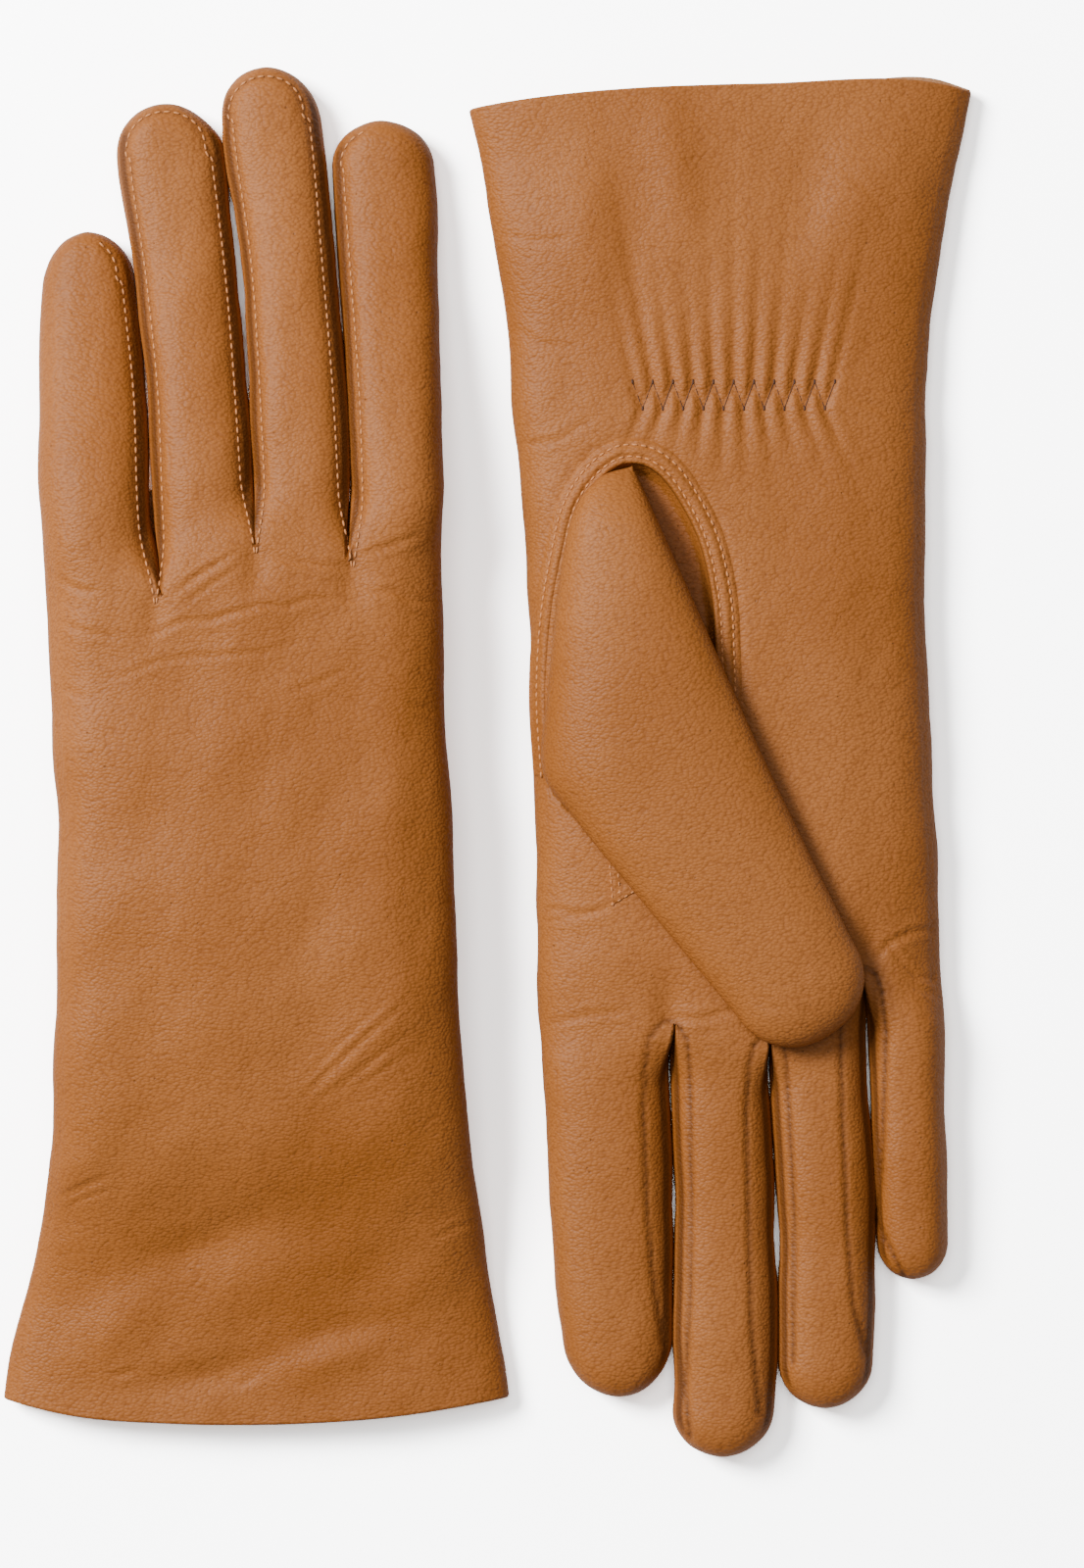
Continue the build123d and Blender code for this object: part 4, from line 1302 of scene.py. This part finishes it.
# The stitches along the fingers' backs.
# One row of prick stitches runs round each finger from fork to fork, where the fourchettes are sewn in:
# up on the left glove, down on the right one. It bends with the finger.
for glove, (points, faces, _, _) in SKIN.items():
    tree = BVHTree.FromPolygons(points[:, :3].tolist(), faces.tolist())
    up = 1.0 if glove == "left" else -1.0
    for finger, line in zip(FINGERS, back_lines(glove)):
        path = [tree.ray_cast(Vector((u, v, 60.0 * up)), Vector((0, 0, -up)))[0] for u, v in line]
        path = np.array([tuple(p) for p in path if p is not None]) + [0, 0, 0.06 * up]
        row = stitched(f"{glove}_{finger}_stitches", glove, [path], 1.95, 1.5, 0.48, THREAD)
        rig.blend(row, glove + "_hand", f"{glove}_{finger}", **finger_root(glove, finger))
        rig.slot(row, "thread")


# The elastic and the quirk.
# A strip of elastic gathers the wrist from inside, on the palm side. The quirk is a small three-cornered
# gusset let in where the thumb's hole ends.
RUBBER, tree, shader = new_material("elastic")
shader.inputs["Base Color"].default_value = (0.16, 0.085, 0.045, 1)
shader.inputs["Roughness"].default_value = 0.8
for glove in ("left", "right"):
    lie = PALM_FACES[glove]
    us, vs = np.meshgrid(np.linspace(GATHER["end"] - 0.6, GATHER["start"] + 0.6, 120),
                         np.linspace(GATHER["top"] - 0.6, GATHER["bottom"] + 0.6, 12))
    strip = surface(glove, np.c_[us.ravel(), vs.ravel()], -1.3).reshape(12, 120, 3)
    skin = Skin()
    skin.grid(np.concatenate([strip, strip[::-1] - [0, 0, 0.5 * lie]])[:, ::int(lie)], "elastic")
    elastic = piece(glove + "_elastic_strip", glove, *skin.welded()[:2])
    elastic.data.materials.append(RUBBER)
    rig.ride(elastic, glove + "_hand")
    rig.slot(elastic, "elastic")
    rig.replaces(elastic, glove + "_wrist_elastic")
    rim = []
    for a, b in zip(QUIRK, QUIRK[1:] + QUIRK[:1]):
        rim += leg(a, b, 13)[:-1].tolist()
    rim = np.array(rim)
    heart = rim.mean(axis=0)
    rings = []
    for share, height in ((1.12, -0.3), (1.06, 0.08), (0.98, 0.28), (0.85, 0.10), (0.72, 0.30), (0.5, 0.18),
                          (0.02, 0.10)):
        plan = heart + (rim - heart) * share
        rings.append(surface(glove, plan, height))
    skin = Skin()
    skin.grid(np.stack(rings)[:, ::int(-lie)], "quirk", loop=True)
    quirk = piece(glove + "_quirk_gusset", glove, *skin.welded()[:2])
    quirk.data.materials.append(LEATHER)
    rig.ride(quirk, glove + "_hand")
    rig.slot(quirk, "leather")
    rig.replaces(quirk, glove + "_quirk")


# The table, the light and the camera.
# A plain white table, a large soft light from the left and a smaller one from above, and a long lens
# straight above.
bpy.ops.mesh.primitive_plane_add(size=6.0)
table = bpy.context.object
table.name = "table"
paper, tree, shader = new_material("paper")
white = node(tree, "ShaderNodeBsdfDiffuse", Color=(5.0, 5.0, 5.0, 1)).outputs[0]
shader.inputs["Base Color"].default_value = (0.85, 0.85, 0.85, 1)
seen = node(tree, "ShaderNodeLightPath").outputs["Is Camera Ray"]
shown = node(tree, "ShaderNodeMixShader", {0: seen, 1: shader.outputs[0], 2: white})
tree.links.new(shown.outputs[0], tree.nodes["Material Output"].inputs["Surface"])
table.data.materials.append(paper)
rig.stage(table)


def softbox(name, place, size, power, target=(0.0, 0.0, 0.0)):
    """A square area light that looks at the target."""
    data = bpy.data.lights.new(name, "AREA")
    data.shape, data.size, data.energy = "SQUARE", size, power
    lamp = bpy.data.objects.new(name, data)
    lamp.location = place
    lamp.rotation_mode = "QUATERNION"
    lamp.rotation_quaternion = (Vector(target) - Vector(place)).to_track_quat("-Z", "Y")
    bpy.context.scene.collection.objects.link(lamp)


softbox("key", (-1.12, 0.66, 1.22), 0.7, 60.0)
softbox("top", (0.0, 0.4, 2.2), 1.3, 13.5)
world = bpy.data.worlds.new("studio")
world.use_nodes = True
world.node_tree.nodes["Background"].inputs["Color"].default_value = (1.0, 1.0, 1.0, 1)
world.node_tree.nodes["Background"].inputs["Strength"].default_value = 0.20
bpy.context.scene.world = world

LENS, FRAME_HEIGHT, SENSOR = 150.0, 0.3200, 36.0
camera_data = bpy.data.cameras.new("camera")
camera_data.lens, camera_data.sensor_width = LENS, SENSOR
camera = bpy.data.objects.new("camera", camera_data)
camera.location = (0.0111, -0.0045, 0.008 + FRAME_HEIGHT * LENS / SENSOR)
camera_data.clip_end = 20.0
bpy.context.scene.collection.objects.link(camera)
bpy.context.scene.camera = camera

json.dump({"cad": [list(c) for c in cad_bounds], "visual": [list(c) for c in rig.bounds()]},
          open("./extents.json", "w"))
